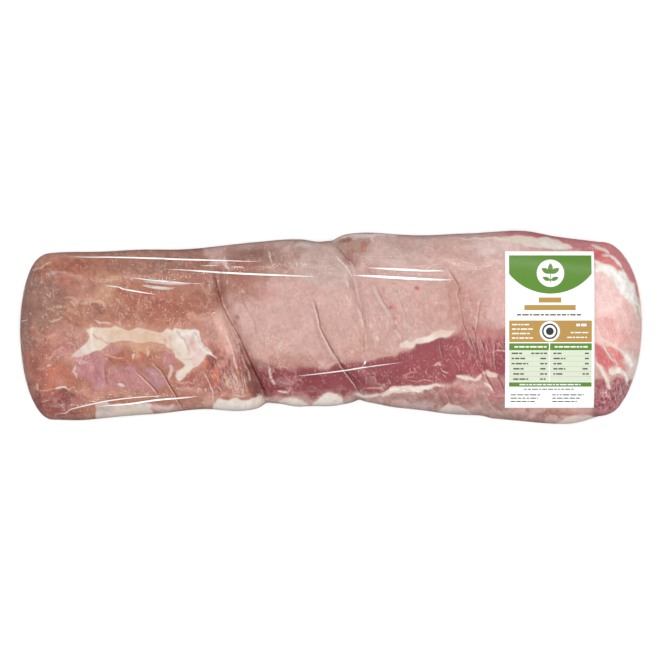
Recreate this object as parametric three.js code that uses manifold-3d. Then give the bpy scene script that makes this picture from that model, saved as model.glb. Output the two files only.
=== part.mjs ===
// A whole boneless pork loin of about 5 kg. It lies flat with its rib side up, sealed tight in clear film, and a paper
// label is stuck across one end. The film clings to the meat, so film and meat are one solid, in the film's outer form.
// Millimetres: +X runs along the loin, +Y across it, +Z up. The origin is on the table under the loin's middle.

import * as THREE from "three";
import { mergeVertices } from "three/addons/utils/BufferGeometryUtils.js";
import Module from "manifold-3d";

// Driving dimensions
const LENGTH = 549; // over both rounded ends
const BLUNT_END = 30; // how far the rounding of the blunt end reaches, at -X
const ROUND_END = 39; // the same for the rounder end, at +X
const BLUNT_TIP_Y = 0; // where each end reaches furthest
const ROUND_TIP_Y = 8;
const WIDEST_Z = 30; // height above the table at which the loin is widest
const FOOT_SINK = 3; // how far the soft underside is pressed flat by its own weight
const CORNER_POWERS = { bluntUpper: 2.5, bluntLower: 2.1, roundUpper: 2.2, roundLower: 2 };
const TIP_POWER = 2.3; // roundness of both ends, seen from the side
const TOP_POWER = 2.7; // squareness of the cross-section above its widest line
const FOOT_POWER = 3.4; // squareness below it

// The outline seen from above, as (x, y) along the far edge and along the near edge
const FAR_EDGE = [
  [-245, 66], [-186, 67], [-146, 69.5], [-107, 72], [-67, 75], [-27, 75], [-9, 73.5],
  [3, 77], [14, 81], [60, 83], [122, 83.5], [166, 84.5], [197, 80], [236, 75.5],
];
const NEAR_EDGE = [
  [-245, -82], [-212, -82], [-160, -75], [-107, -71], [-62, -72], [-50, -69], [-27, -70],
  [12, -66.5], [27, -65], [60, -69], [105, -76], [158, -82], [210, -85], [236, -78.5],
];
// Height of the crest along the loin, as (x, z)
const CREST = [
  [-245, 60], [-150, 64], [-105, 65], [-85, 64], [0, 67], [100, 70], [190, 72], [236, 70],
];

// Creases pressed into the meat, which the film dips into, each from the far edge to the near one
const CREASES = [
  { depth: 6.5, reach: 5, route: [[-102, 60], [-95, 23], [-83, -4], [-70, -37], [-54, -76]] },
  { depth: 3, reach: 4, route: [[-17, 24], [-8, -8], [4, -31], [20, -52], [28, -72]] },
  { depth: 3.5, reach: 4.5, route: [[-3, 80], [9, 66], [18, 56], [25, 16], [33, -25]] },
  { depth: 1.6, reach: 3.5, route: [[35, 37], [47, 15], [70, -15]] },
  { depth: 2.4, reach: 4.5, route: [[98, 57], [113, 18], [125, -25], [140, -52]] },
  { depth: 1.8, reach: 3, route: [[-154, -30], [-143, -50], [-132, -72]] },
  { depth: 1.5, reach: 3, route: [[-171, -32], [-161, -45], [-150, -60]] },
];
const CREASE_FADE = 14; // a crease runs out over this length at its ends

// Swellings under the film: lumps of fat along the near edge, and the fat and muscle heads beside the main crease
const LUMPS = [
  { x: -81, y: -68, length: 24, width: 11, height: 2.6 },
  { x: -33, y: -66, length: 14, width: 10, height: 2.2 },
  { x: 0, y: -64, length: 17, width: 11, height: 2.6 },
  { x: -130, y: -6, length: 30, width: 11, height: 2.2 },
  { x: -185, y: -38, length: 26, width: 20, height: 2.4 },
  { x: -60, y: 30, length: 30, width: 40, height: 1.8 },
  { x: 45, y: -45, length: 60, width: 16, height: -1.6 },
];
// Slow unevenness of the whole surface: wave length, heading in radians, phase and height
const WAVES = [
  { length: 170, heading: 0.4, phase: 0.9, height: 1.5 },
  { length: 87, heading: 1.9, phase: 2.1, height: 0.8 },
  { length: 51, heading: -0.7, phase: 4.0, height: 0.4 },
];

// The label, stuck over the film, as seen from above
const LABEL = { x: 191, y: -2, width: 78, length: 137, thickness: 0.5, gap: 0.5 };
// The loin is smooth under the label and this far around it, and has its full relief from the second distance on
const LABEL_CALM = [8, 24];

// Fineness of the solids. The rings lean like the creases, and stand twice as close around the deepest one
const BODY_RINGS = 88;
const END_RINGS = 8;
const RING_POINTS = 52;
const LEAN = { slope: 0.36, fade: 110 }; // shift along the loin for each millimetre across it, and its fade at the ends
const CLOSE_RINGS = { x: -83, reach: 9 };
const LABEL_STEPS = { across: 5, along: 26 };

const { clamp } = THREE.MathUtils;
const BODY_START = -LENGTH / 2 + BLUNT_END;
const BODY_END = LENGTH / 2 - ROUND_END;

// A smooth curve through points, as a function of their first number
function curveThrough(points) {
  const curve = new THREE.CubicInterpolant(points.map((p) => p[0]), points.map((p) => p[1]), 1);
  const first = points[0][0];
  const last = points[points.length - 1][0];
  return (x) => curve.evaluate(clamp(x, first, last))[0];
}
const farEdge = curveThrough(FAR_EDGE);
const nearEdge = curveThrough(NEAR_EDGE);
const crest = curveThrough(CREST);

// How much of its full size a section has at x: 1 along the body, and 0 at the tip of an end
function rounding(x, bluntPower, roundPower) {
  const blunt = (BODY_START - x) / BLUNT_END;
  const round = (x - BODY_END) / ROUND_END;
  if (blunt > 0) return Math.pow(1 - Math.pow(Math.min(blunt, 1), bluntPower), 1 / bluntPower);
  if (round > 0) return Math.pow(1 - Math.pow(Math.min(round, 1), roundPower), 1 / roundPower);
  return 1;
}

// The section at x: its middle line, its reach to both sides of it, and its reach up and down
function sectionAt(x) {
  const along = (x + LENGTH / 2) / LENGTH;
  const middle = THREE.MathUtils.lerp(BLUNT_TIP_Y, ROUND_TIP_Y, along);
  const thick = rounding(x, TIP_POWER, TIP_POWER);
  return {
    middle,
    far: (farEdge(x) - middle) * rounding(x, CORNER_POWERS.bluntUpper, CORNER_POWERS.roundUpper),
    near: (middle - nearEdge(x)) * rounding(x, CORNER_POWERS.bluntLower, CORNER_POWERS.roundLower),
    up: (crest(x) - WIDEST_Z) * thick,
    down: (WIDEST_Z + FOOT_SINK) * thick,
  };
}

// A point of the smooth surface at x: turn goes from the far side (0) over the top (quarter) to the near side (half)
function surfacePoint(x, turn) {
  const section = sectionAt(x);
  const angle = turn * 2 * Math.PI;
  const across = Math.cos(angle);
  const rise = Math.sin(angle);
  const power = 2 / (rise >= 0 ? TOP_POWER : FOOT_POWER);
  const side = across >= 0 ? section.far : -section.near;
  const lift = rise >= 0 ? section.up : -section.down;
  return new THREE.Vector3(
    x,
    section.middle + side * Math.pow(Math.abs(across), power),
    WIDEST_Z + lift * Math.pow(Math.abs(rise), power),
  );
}

// The same point on a ring that leans like the creases: its far side stands nearer to -X than its near side
function leaningPoint(x, turn) {
  const { smoothstep } = THREE.MathUtils;
  const inside = smoothstep(x - BODY_START, 0, LEAN.fade) * smoothstep(BODY_END - x, 0, LEAN.fade);
  return surfacePoint(x - LEAN.slope * inside * surfacePoint(x, turn).y, turn);
}

// Height of the smooth top above a point of the table
function topAt(x, y) {
  const section = sectionAt(x);
  const share = y >= section.middle ? (y - section.middle) / section.far : (section.middle - y) / section.near;
  return WIDEST_Z + section.up * Math.pow(1 - Math.pow(Math.min(share, 1), TOP_POWER), 1 / TOP_POWER);
}

// Depth of one crease at (x, y): deepest on its route, and running out at the route's ends
function creaseDepth(crease, x, y) {
  const point = new THREE.Vector2(x, y);
  const pieces = crease.route.slice(1).map((end, i) => {
    const start = new THREE.Vector2(...crease.route[i]);
    const way = new THREE.Vector2(...end).sub(start);
    const share = clamp(point.clone().sub(start).dot(way) / way.lengthSq(), 0, 1);
    return { length: way.length(), share, distance: start.addScaledVector(way, share).distanceTo(point) };
  });
  const nearest = pieces.reduce((best, piece, i) => (piece.distance < pieces[best].distance ? i : best), 0);
  const before = pieces.slice(0, nearest).reduce((sum, piece) => sum + piece.length, 0);
  const along = before + pieces[nearest].share * pieces[nearest].length;
  const whole = pieces.reduce((sum, piece) => sum + piece.length, 0);
  const fade = Math.min(1, along / CREASE_FADE, (whole - along) / CREASE_FADE);
  return crease.depth * fade * Math.exp(-((pieces[nearest].distance / crease.reach) ** 2));
}

// How calm the surface is at (x, y): 1 under the label, falling to 0 a little way off it
function calmAt(x, y) {
  const off = Math.max(
    Math.abs(x - LABEL.x) - LABEL.width / 2,
    Math.abs(y - LABEL.y) - LABEL.length / 2,
  );
  return 1 - THREE.MathUtils.smoothstep(off, ...LABEL_CALM);
}

// How far the surface stands out from the smooth form at a point of it
function reliefAt(point) {
  const { x, y, z } = point;
  let relief = 0;
  for (const crease of CREASES) relief -= creaseDepth(crease, x, y);
  for (const lump of LUMPS) {
    relief += lump.height * Math.exp(-(((x - lump.x) / lump.length) ** 2) - ((y - lump.y) / lump.width) ** 2);
  }
  for (const wave of WAVES) {
    const travel = x * Math.cos(wave.heading) + y * Math.sin(wave.heading);
    relief += wave.height * Math.sin((travel / wave.length) * 2 * Math.PI + wave.phase);
  }
  const clearOfFoot = THREE.MathUtils.smoothstep(z, 0, WIDEST_Z);
  return relief * clearOfFoot * (1 - calmAt(x, y));
}

// Turns at which the points of a ring stand, so that they are evenly far apart on the section at the loin's middle
function evenTurns() {
  const FINE = 2000;
  const reach = [0];
  for (let i = 1; i <= FINE; i++) {
    const step = surfacePoint(0, i / FINE).distanceTo(surfacePoint(0, (i - 1) / FINE));
    reach.push(reach[i - 1] + step);
  }
  const turns = [];
  for (let i = 0, j = 0; j < RING_POINTS; j++) {
    while (reach[i] < (j / RING_POINTS) * reach[FINE]) i++;
    turns.push(i / FINE);
  }
  return turns;
}

// Where the rings of the loft stand: crowded towards the two tips, even between them
function ringPlaces() {
  const places = [];
  for (let i = 1; i < END_RINGS; i++) {
    places.push(BODY_START - BLUNT_END * Math.cos((i / END_RINGS) * (Math.PI / 2)));
  }
  for (let i = 0; i <= BODY_RINGS; i++) {
    const x = THREE.MathUtils.lerp(BODY_START, BODY_END, i / BODY_RINGS);
    if (Math.abs(x - CLOSE_RINGS.x) < CLOSE_RINGS.reach) places.push(x - (BODY_END - BODY_START) / BODY_RINGS / 2);
    places.push(x);
  }
  for (let i = END_RINGS - 1; i > 0; i--) {
    places.push(BODY_END + ROUND_END * Math.cos((i / END_RINGS) * (Math.PI / 2)));
  }
  return places;
}

// The loft through all rings, closed by one point at each tip
function loinForm() {
  const places = ringPlaces();
  const turns = evenTurns();
  const positions = places.flatMap((x) => turns.flatMap((turn) => [...leaningPoint(x, turn)]));
  const bluntTip = positions.length / 3;
  positions.push(-LENGTH / 2, BLUNT_TIP_Y, WIDEST_Z);
  const roundTip = bluntTip + 1;
  positions.push(LENGTH / 2, ROUND_TIP_Y, WIDEST_Z);

  const faces = [];
  const lastRing = (places.length - 1) * RING_POINTS;
  for (let j = 0; j < RING_POINTS; j++) {
    const next = (j + 1) % RING_POINTS;
    faces.push(bluntTip, next, j);
    faces.push(roundTip, lastRing + j, lastRing + next);
    for (let start = 0; start < lastRing; start += RING_POINTS) {
      const [a, b] = [start + j, start + next];
      const [c, d] = [b + RING_POINTS, a + RING_POINTS];
      faces.push(a, b, c, a, c, d);
    }
  }
  const form = new THREE.BufferGeometry();
  form.setAttribute("position", new THREE.Float32BufferAttribute(positions, 3));
  form.setIndex(faces);
  return form;
}

// Moves every point along its normal by the relief there
function pressRelief(form) {
  form.computeVertexNormals();
  const position = form.getAttribute("position");
  const normal = form.getAttribute("normal");
  for (let i = 0; i < position.count; i++) {
    const point = new THREE.Vector3().fromBufferAttribute(position, i);
    const outwards = new THREE.Vector3().fromBufferAttribute(normal, i);
    point.addScaledVector(outwards, reliefAt(point));
    position.setXYZ(i, point.x, point.y, point.z);
  }
  return form;
}

const wasm = await Module();
wasm.setup();

function toSolid(geometry) {
  const bare = geometry.clone().deleteAttribute("normal").deleteAttribute("uv");
  const merged = mergeVertices(bare);
  return new wasm.Manifold(
    new wasm.Mesh({
      numProp: 3,
      vertProperties: merged.getAttribute("position").array,
      triVerts: new Uint32Array(merged.index.array),
    }),
  );
}

function toGeometry(solid) {
  const mesh = solid.getMesh();
  const geometry = new THREE.BufferGeometry();
  geometry.setAttribute("position", new THREE.BufferAttribute(mesh.vertProperties, 3));
  geometry.setIndex(new THREE.BufferAttribute(mesh.triVerts, 1));
  geometry.computeVertexNormals();
  return geometry;
}

// The wrapped loin: the loft with its relief, cut flat where it lies on the table
function wrappedLoin() {
  const table = new THREE.BoxGeometry(2 * LENGTH, LENGTH, LENGTH).translate(0, 0, -LENGTH / 2);
  return toGeometry(toSolid(pressRelief(loinForm())).subtract(toSolid(table)));
}

// The label: a thin sheet bent over the top of the loin
function bentLabel() {
  const { width, length, thickness, gap } = LABEL;
  const sheet = new THREE.BoxGeometry(width, length, thickness, LABEL_STEPS.across, LABEL_STEPS.along, 1);
  sheet.translate(LABEL.x, LABEL.y, thickness / 2);
  const position = sheet.getAttribute("position");
  for (let i = 0; i < position.count; i++) {
    const [x, y, z] = [position.getX(i), position.getY(i), position.getZ(i)];
    position.setZ(i, topAt(x, y) + gap + z);
  }
  sheet.computeVertexNormals();
  return sheet;
}

const FILM_OVER_MEAT = new THREE.MeshStandardMaterial({ color: 0xcf9a8f, roughness: 0.35, metalness: 0 });
const LABEL_PAPER = new THREE.MeshStandardMaterial({ color: 0xf6f6f2, roughness: 0.5, metalness: 0 });

const loin = new THREE.Mesh(wrappedLoin(), FILM_OVER_MEAT);
loin.name = "wrapped_loin";
const label = new THREE.Mesh(bentLabel(), LABEL_PAPER);
label.name = "label";

// The origin is under the middle of the loin's box
const middle = new THREE.Box3().setFromObject(loin).getCenter(new THREE.Vector3());
const packedLoin = new THREE.Group();
for (const piece of [loin, label]) {
  piece.position.set(-middle.x, -middle.y, 0);
  packedLoin.add(piece);
}

export default packedLoin;
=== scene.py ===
# %% [markdown]
# # A raw pork loin, sealed tight in clear film
#
# The real object is a whole boneless loin of about 5 kg. It lies on its fat, so its lean side shows:
# bare brownish lean at the blunt end, a pale skin of membrane along the middle, and the round eye of
# the loin at the other end, under a paper label. Shrunk film holds all of it.
#
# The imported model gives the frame: one solid for the wrapped loin and one for the label. Both are
# replaced here by what they stand for. The loin becomes meat and film, and the label becomes paper and
# ink.

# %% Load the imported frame
import math

import bpy
import numpy as np
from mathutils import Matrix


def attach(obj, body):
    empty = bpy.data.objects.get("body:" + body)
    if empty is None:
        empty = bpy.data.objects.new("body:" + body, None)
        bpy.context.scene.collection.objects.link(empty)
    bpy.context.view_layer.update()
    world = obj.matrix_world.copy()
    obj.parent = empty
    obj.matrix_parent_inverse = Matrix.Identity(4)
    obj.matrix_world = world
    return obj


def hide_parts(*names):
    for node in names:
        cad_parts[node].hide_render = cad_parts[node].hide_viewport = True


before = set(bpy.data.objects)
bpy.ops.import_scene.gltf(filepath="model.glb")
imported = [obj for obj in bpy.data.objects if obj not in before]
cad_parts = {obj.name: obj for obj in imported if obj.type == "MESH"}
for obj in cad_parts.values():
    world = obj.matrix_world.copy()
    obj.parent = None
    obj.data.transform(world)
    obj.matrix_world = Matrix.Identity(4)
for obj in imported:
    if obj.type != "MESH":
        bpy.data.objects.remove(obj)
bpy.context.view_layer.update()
MM = 0.001  # the scene is in metres, and the sizes below are in millimetres
print("Nodes in the frame:", sorted(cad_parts))

# %% [markdown]
# ## Camera, light and floor
#
# The pack is seen from straight above, from far off, so nearly without perspective. A camera 5 m up
# with a long lens gives that. The picture is 581 mm wide where the loin is widest, 30 mm above the
# table.
#
# The light is that of a studio tent: a dim room all round, one large soft lamp overhead, and a narrow
# strip lamp along each side. A lamp overhead would lie on glossy film like fog, so photographers put a
# polariser before it. Here the lamp is simply left out of reflections. The strips do reflect, and they
# draw thin bright lines on tight film; the brightest of these lines are painted highlights, whitish
# folds laid on the film further on. The light is a little more than white paper needs, so the floor
# turns white.

# %% Camera straight above the pack
CAMERA_HEIGHT = 5000.0
PICTURE_WIDTH = 580.8
PICTURE_CENTRE = (-0.9, -2.4)
WIDEST_Z = 30.0
SENSOR = 36.0


def add_object(name, data):
    """A new object in the scene."""
    thing = bpy.data.objects.new(name, data)
    bpy.context.scene.collection.objects.link(thing)
    return thing


camera_data = bpy.data.cameras.new("overhead_camera")
camera_data.sensor_width = SENSOR
camera_data.lens = SENSOR * (CAMERA_HEIGHT - WIDEST_Z) / PICTURE_WIDTH
camera_data.clip_end = 20.0
camera = add_object("overhead_camera", camera_data)
camera.location = (PICTURE_CENTRE[0] * MM, PICTURE_CENTRE[1] * MM, CAMERA_HEIGHT * MM)
bpy.context.scene.camera = camera
print(f"Lens {camera_data.lens:.0f} mm at {CAMERA_HEIGHT / 1000:.1f} m")

# %% Soft room, overhead lamp and two strip lamps
ROOM_LIGHT = 0.34
LIGHT_ON_TOP = 1.50  # what white paper on the pack would show as, with 1 as white
world = bpy.data.worlds.new("studio_tent")
world.use_nodes = True
world.node_tree.nodes["Background"].inputs["Color"].default_value = (1.0, 1.0, 1.0, 1.0)
world.node_tree.nodes["Background"].inputs["Strength"].default_value = ROOM_LIGHT
bpy.context.scene.world = world


def hang_lamp(name, place, size, brightness, reflects):
    """A flat lamp at place, aimed at the pack; brightness is what it would show as, with 1 as white."""
    data = bpy.data.lights.new(name, "AREA")
    data.shape = "RECTANGLE"
    data.size = size[0]
    data.size_y = size[1]
    data.energy = brightness * size[0] * size[1] * math.pi
    lamp = add_object(name, data)
    lamp.location = place
    lamp.rotation_euler = (-math.atan2(place[1], place[2]), 0.0, 0.0)
    lamp.visible_glossy = reflects


hang_lamp("overhead_lamp", (0.0, 0.0, 2.6), (1.5, 1.5), 12.0, False)
hang_lamp("far_strip", (0.0, 0.75, 1.0), (1.3, 0.05), 13.0, True)
hang_lamp("near_strip", (0.0, -0.95, 0.85), (1.3, 0.05), 13.0, True)

# %% Pale floor
FLOOR_SIZE = 6.0
FLOOR_GAP = 0.0002  # keeps the flat underside of the film off the floor
bpy.ops.mesh.primitive_plane_add(size=FLOOR_SIZE, location=(0.0, 0.0, -FLOOR_GAP))
floor = bpy.context.object
floor.name = "floor"
floor_finish = bpy.data.materials.new("pale_floor")
floor_finish.use_nodes = True
floor_shader = floor_finish.node_tree.nodes["Principled BSDF"]
floor_shader.inputs["Base Color"].default_value = (0.93, 0.93, 0.93, 1.0)
floor_shader.inputs["Roughness"].default_value = 0.9
floor.data.materials.append(floor_finish)
bpy.context.scene.view_settings.view_transform = "Standard"
bpy.context.scene.view_settings.look = "None"
print("Floor and three lamps stand")

# %% [markdown]
# ## The form of the loin
#
# A packed loin is a soft bar: flat underneath, squarely rounded on top, blunt at one end and rounder at
# the other. It could be sculpted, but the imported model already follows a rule, so the same rule is
# repeated here with many more points: superellipse sections, strung between two edges and a crest. All
# the pieces below are offsets of this one form, so meat, film and label stay nested.

# %% Driving sizes of the form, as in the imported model
LENGTH = 549.0
BLUNT_END = 30.0
ROUND_END = 39.0
TIP_Y = (0.0, 8.0)
FOOT_SINK = 3.0
FAR_CORNERS = (2.5, 2.2)
NEAR_CORNERS = (2.1, 2.0)
TIP_POWER = 2.3
TOP_POWER = 2.7
FOOT_POWER = 3.4
BODY_START = -LENGTH / 2 + BLUNT_END
BODY_END = LENGTH / 2 - ROUND_END
FAR_EDGE = [
    (-245, 66), (-186, 67), (-146, 69.5), (-107, 72), (-67, 75), (-27, 75), (-9, 73.5),
    (3, 77), (14, 81), (60, 83), (122, 83.5), (166, 84.5), (197, 80), (236, 75.5),
]
NEAR_EDGE = [
    (-245, -82), (-212, -82), (-160, -75), (-107, -71), (-62, -72), (-50, -69), (-27, -70),
    (12, -66.5), (27, -65), (60, -69), (105, -76), (158, -82), (210, -85), (236, -78.5),
]
CREST = [
    (-245, 60), (-150, 64), (-105, 65), (-85, 64), (0, 67), (100, 70), (190, 72), (236, 70),
]


def curve_through(points):
    """A smooth curve through (x, value) points; its slope at each is the mean of the two sides' slopes."""
    knots, values = np.array(points, float).T
    slopes = np.diff(values) / np.diff(knots)
    bends = np.concatenate([slopes[:1], (slopes[1:] + slopes[:-1]) / 2, slopes[-1:]])

    def value_at(x):
        x = np.clip(x, knots[0], knots[-1])
        i = np.clip(np.searchsorted(knots, x) - 1, 0, len(slopes) - 1)
        span = knots[i + 1] - knots[i]
        t = (x - knots[i]) / span
        rise = t * t * (3 - 2 * t)
        swing = span * t * (1 - t) * ((1 - t) * bends[i] - t * bends[i + 1])
        return values[i] + rise * (values[i + 1] - values[i]) + swing

    return value_at


far_edge = curve_through(FAR_EDGE)
near_edge = curve_through(NEAR_EDGE)
crest = curve_through(CREST)
print(f"Widest section: {(far_edge(180) - near_edge(180)):.0f} mm across")

# %% Sections, surface points and the smooth top


def rounding(x, powers):
    """Share of its full size that a section has at x: 1 along the body, 0 at the tip of an end."""
    into_blunt = np.clip((BODY_START - x) / BLUNT_END, 0, 1)
    into_round = np.clip((x - BODY_END) / ROUND_END, 0, 1)
    at_blunt = (1 - into_blunt ** powers[0]) ** (1 / powers[0])
    return at_blunt * (1 - into_round ** powers[1]) ** (1 / powers[1])


def section_at(x):
    """Middle line, reach to the far and the near side, and reach up and down of the section at x."""
    middle = TIP_Y[0] + (TIP_Y[1] - TIP_Y[0]) * (x + LENGTH / 2) / LENGTH
    thick = rounding(x, (TIP_POWER, TIP_POWER))
    far = (far_edge(x) - middle) * rounding(x, FAR_CORNERS)
    near = (middle - near_edge(x)) * rounding(x, NEAR_CORNERS)
    return middle, far, near, (crest(x) - WIDEST_Z) * thick, (WIDEST_Z + FOOT_SINK) * thick


def form_points(x, turns):
    """Points of the smooth form, one row for each x; a turn runs from the far side over the top."""
    middle, far, near, up, down = (part[:, None] for part in section_at(x))
    across = np.cos(turns * 2 * math.pi)[None, :]
    rise = np.sin(turns * 2 * math.pi)[None, :]
    power = 2 / np.where(rise >= 0, TOP_POWER, FOOT_POWER)
    side = np.where(across >= 0, far, -near)
    lift = np.where(rise >= 0, up, -down)
    y = middle + side * np.abs(across) ** power
    z = WIDEST_Z + lift * np.abs(rise) ** power
    return np.stack([np.broadcast_to(x[:, None], y.shape), y, z], axis=2)


def top_at(x, y):
    """Height of the smooth top above a point of the table."""
    middle, far, near, up, down = section_at(x)
    share = np.clip(np.where(y >= middle, (y - middle) / far, (middle - y) / near), 0, 1)
    return WIDEST_Z + up * (1 - share ** TOP_POWER) ** (1 / TOP_POWER)


print(f"Top above the middle: {float(top_at(np.array(0.0), np.array(0.0))):.1f} mm")

# %% [markdown]
# ## Relief: creases, lumps and slow waves
#
# Where muscles meet, the loin folds into creases, and the film dips into them. Lumps of fat swell along
# the near edge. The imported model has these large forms, and they are repeated. The finer wrinkles are
# added here only: the pleats that the shrinking film drew together, and the small steps beside the
# creases.

# %% Creases, lumps and waves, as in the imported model
CREASES = {
    "main": (6.5, 5, [(-102, 60), (-95, 23), (-83, -4), (-70, -37), (-54, -76)]),
    "middle": (3, 4, [(-17, 24), (-8, -8), (4, -31), (20, -52), (28, -72)]),
    "waist": (3.5, 4.5, [(-3, 80), (9, 66), (18, 56), (25, 16), (33, -25)]),
    "beside_waist": (1.6, 3.5, [(35, 37), (47, 15), (70, -15)]),
    "beside_label": (2.4, 4.5, [(98, 57), (113, 18), (125, -25), (140, -52)]),
    "blunt_end_first": (1.8, 3, [(-154, -30), (-143, -50), (-132, -72)]),
    "blunt_end_second": (1.5, 3, [(-171, -32), (-161, -45), (-150, -60)]),
}
CREASE_FADE = 14.0
LUMPS = [
    (-81, -68, 24, 11, 2.6), (-33, -66, 14, 10, 2.2), (0, -64, 17, 11, 2.6), (-130, -6, 30, 11, 2.2),
    (-185, -38, 26, 20, 2.4), (-60, 30, 30, 40, 1.8), (45, -45, 60, 16, -1.6),
]
WAVES = [(170, 0.4, 0.9, 1.5), (87, 1.9, 2.1, 0.8), (51, -0.7, 4.0, 0.4)]
LABEL = {"x": 191.0, "y": -2.0, "width": 78.0, "length": 137.0, "gap": 0.5}
LABEL_CALM = (8.0, 24.0)


def smooth(value, low, high):
    """0 below low, 1 above high, and a smooth step between them."""
    share = np.clip((value - low) / (high - low), 0, 1)
    return share * share * (3 - 2 * share)


def beside_route(place, route):
    """For every place: distance from a route, the side it lies on, the way along it and the way left."""
    best = np.full(len(place), 1e9)
    side = np.zeros(len(place))
    along = np.zeros(len(place))
    before = 0.0
    for start, end in zip(np.array(route[:-1], float), np.array(route[1:], float)):
        way = end - start
        length = math.hypot(*way)
        offset = place - start
        share = np.clip(offset @ way / length**2, 0, 1)
        gap = np.hypot(*(offset - share[:, None] * way).T)
        closer = gap < best
        turn = np.sign(way[0] * offset[:, 1] - way[1] * offset[:, 0])
        side = np.where(closer, turn, side)
        along = np.where(closer, before + share * length, along)
        best = np.minimum(best, gap)
        before += length
    return best, side, along, before - along


def crease_depth(place, depth, reach, route, fade=CREASE_FADE):
    """Depth of a crease at every place: deepest on its route, running out at both ends."""
    gap, _, along, left = beside_route(place, route)
    return depth * np.clip(np.minimum(along, left) / fade, 0, 1) * np.exp(-((gap / reach) ** 2))


def calm_at(place):
    """1 under the label, where the surface is smooth, falling to 0 a little way off it."""
    off_x = np.abs(place[:, 0] - LABEL["x"]) - LABEL["width"] / 2
    off_y = np.abs(place[:, 1] - LABEL["y"]) - LABEL["length"] / 2
    return 1 - smooth(np.maximum(off_x, off_y), *LABEL_CALM)


def large_relief(place, height):
    """How far the wrapped loin stands out from its smooth form."""
    relief = np.zeros(len(place))
    for depth, reach, route in CREASES.values():
        relief -= crease_depth(place, depth, reach, route)
    for x, y, length, width, swell in LUMPS:
        relief += swell * np.exp(-(((place[:, 0] - x) / length) ** 2) - ((place[:, 1] - y) / width) ** 2)
    for length, heading, phase, swell in WAVES:
        travel = place @ (math.cos(heading), math.sin(heading))
        relief += swell * np.sin(travel / length * 2 * math.pi + phase)
    return relief * smooth(height, 0, WIDEST_Z) * (1 - calm_at(place))


print(len(CREASES), "creases,", len(LUMPS), "lumps and", len(WAVES), "waves")

# %% Finer wrinkles, in the meat and the film
WRINKLES = [
    (1.1, 1.9, [(99, 57), (108, 42), (114, 18), (118, -5)]),
    (1.3, 1.9, [(118, -5), (127, -25), (140, -41), (151, -60)]),
    (0.9, 1.6, [(120, 2), (128, -16), (137, -33), (149, -50)]),
    (0.7, 1.6, [(126, 8), (131, -12), (136, -27)]),
    (0.8, 1.6, [(134, 12), (133, -8), (142, -30), (150, -45)]),
    (0.7, 1.6, [(111, -30), (120, -48), (130, -66)]),
    (0.8, 1.8, [(35, 38), (48, 16), (59, 3), (71, -15)]),
    (0.8, 1.7, [(31, 0), (38, -25), (44, -38)]),
    (0.7, 1.7, [(-113, -38), (-108, -54), (-104, -70)]),
    (0.7, 1.5, [(-120, 3), (-112, -20), (-105, -40)]),
    (0.9, 1.6, [(-98, -2), (-90, -30), (-80, -58)]),
    (0.9, 1.6, [(-92, -8), (-83, -35), (-73, -60)]),
    (0.6, 1.5, [(-55, 24), (-48, 2), (-46, -14)]),
    (0.5, 1.5, [(-66, 28), (-58, 4), (-54, -12)]),
    (0.8, 1.7, [(14, -34), (25, -46), (36, -64)]),
    (0.7, 1.7, [(73, -45), (82, -58), (90, -70)]),
]


def fine_relief(place, height):
    """The wrinkles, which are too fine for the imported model."""
    relief = np.zeros(len(place))
    for depth, reach, route in WRINKLES:
        relief -= crease_depth(place, depth, reach, route, fade=8.0)
    return relief * smooth(height, 0, WIDEST_Z) * (1 - calm_at(place))


def ripples(place, size, seed, count=28):
    """Smooth random unevenness of the given size, from about -1 to 1; the same for the same seed."""
    draw = np.random.default_rng(seed)
    heading = draw.uniform(0, 2 * math.pi, count)
    pace = draw.uniform(0.6, 1.5, count) * 2 * math.pi / size
    phase = draw.uniform(0, 2 * math.pi, count)
    total = np.zeros(len(place))
    for turn, speed, start in zip(heading, pace, phase):
        total += np.sin(place @ (math.cos(turn) * speed, math.sin(turn) * speed) + start)
    return total / math.sqrt(count / 2)


print(len(WRINKLES), "wrinkles")

# %% [markdown]
# ## A net of points over the form
#
# Film and meat are nets of the same kind, in rows of points round the loin. The rows crowd at the two
# tips, and the points stand close on top, where detail shows, and wide underneath, where the loin lies
# flat. For painting, each point also gets a place on a flat sheet: the view from above, with the sides
# folded out.

# %% Nets, and meshes made from them
UNDERSIDE_FINENESS = 0.3
UNDERSIDE_TOP = 3.0  # points lower than this belong to the underside
END_WAY = 1.6  # the way over an end, as a multiple of its length


def net_rows(step):
    """Places of the rows along the loin: even along the body, crowded towards the tips."""
    blunt_way, round_way = BLUNT_END * END_WAY, ROUND_END * END_WAY
    ends = np.arange(1, round(blunt_way / step)) * (step / blunt_way) * math.pi / 2
    blunt_rows = BODY_START - BLUNT_END * np.cos(ends)
    body_rows = np.linspace(BODY_START, BODY_END, round((BODY_END - BODY_START) / step))
    ends = np.arange(1, round(round_way / step)) * (step / round_way) * math.pi / 2
    round_rows = BODY_END + ROUND_END * np.cos(ends[::-1])
    return np.concatenate([blunt_rows, body_rows, round_rows])


def net_turns(step):
    """Turns of the points in a row: a step apart on top and at the sides, and wider underneath."""
    fine = np.linspace(0, 1, 4001)
    ring = form_points(np.zeros(1), fine)[0]
    fineness = np.where(ring[1:, 2] > UNDERSIDE_TOP, 1.0, UNDERSIDE_FINENESS)
    reach = np.concatenate([[0], np.cumsum(np.linalg.norm(np.diff(ring, axis=0), axis=1) * fineness)])
    return np.interp(np.linspace(0, reach[-1], round(reach[-1] / step), endpoint=False), reach, fine)


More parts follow.
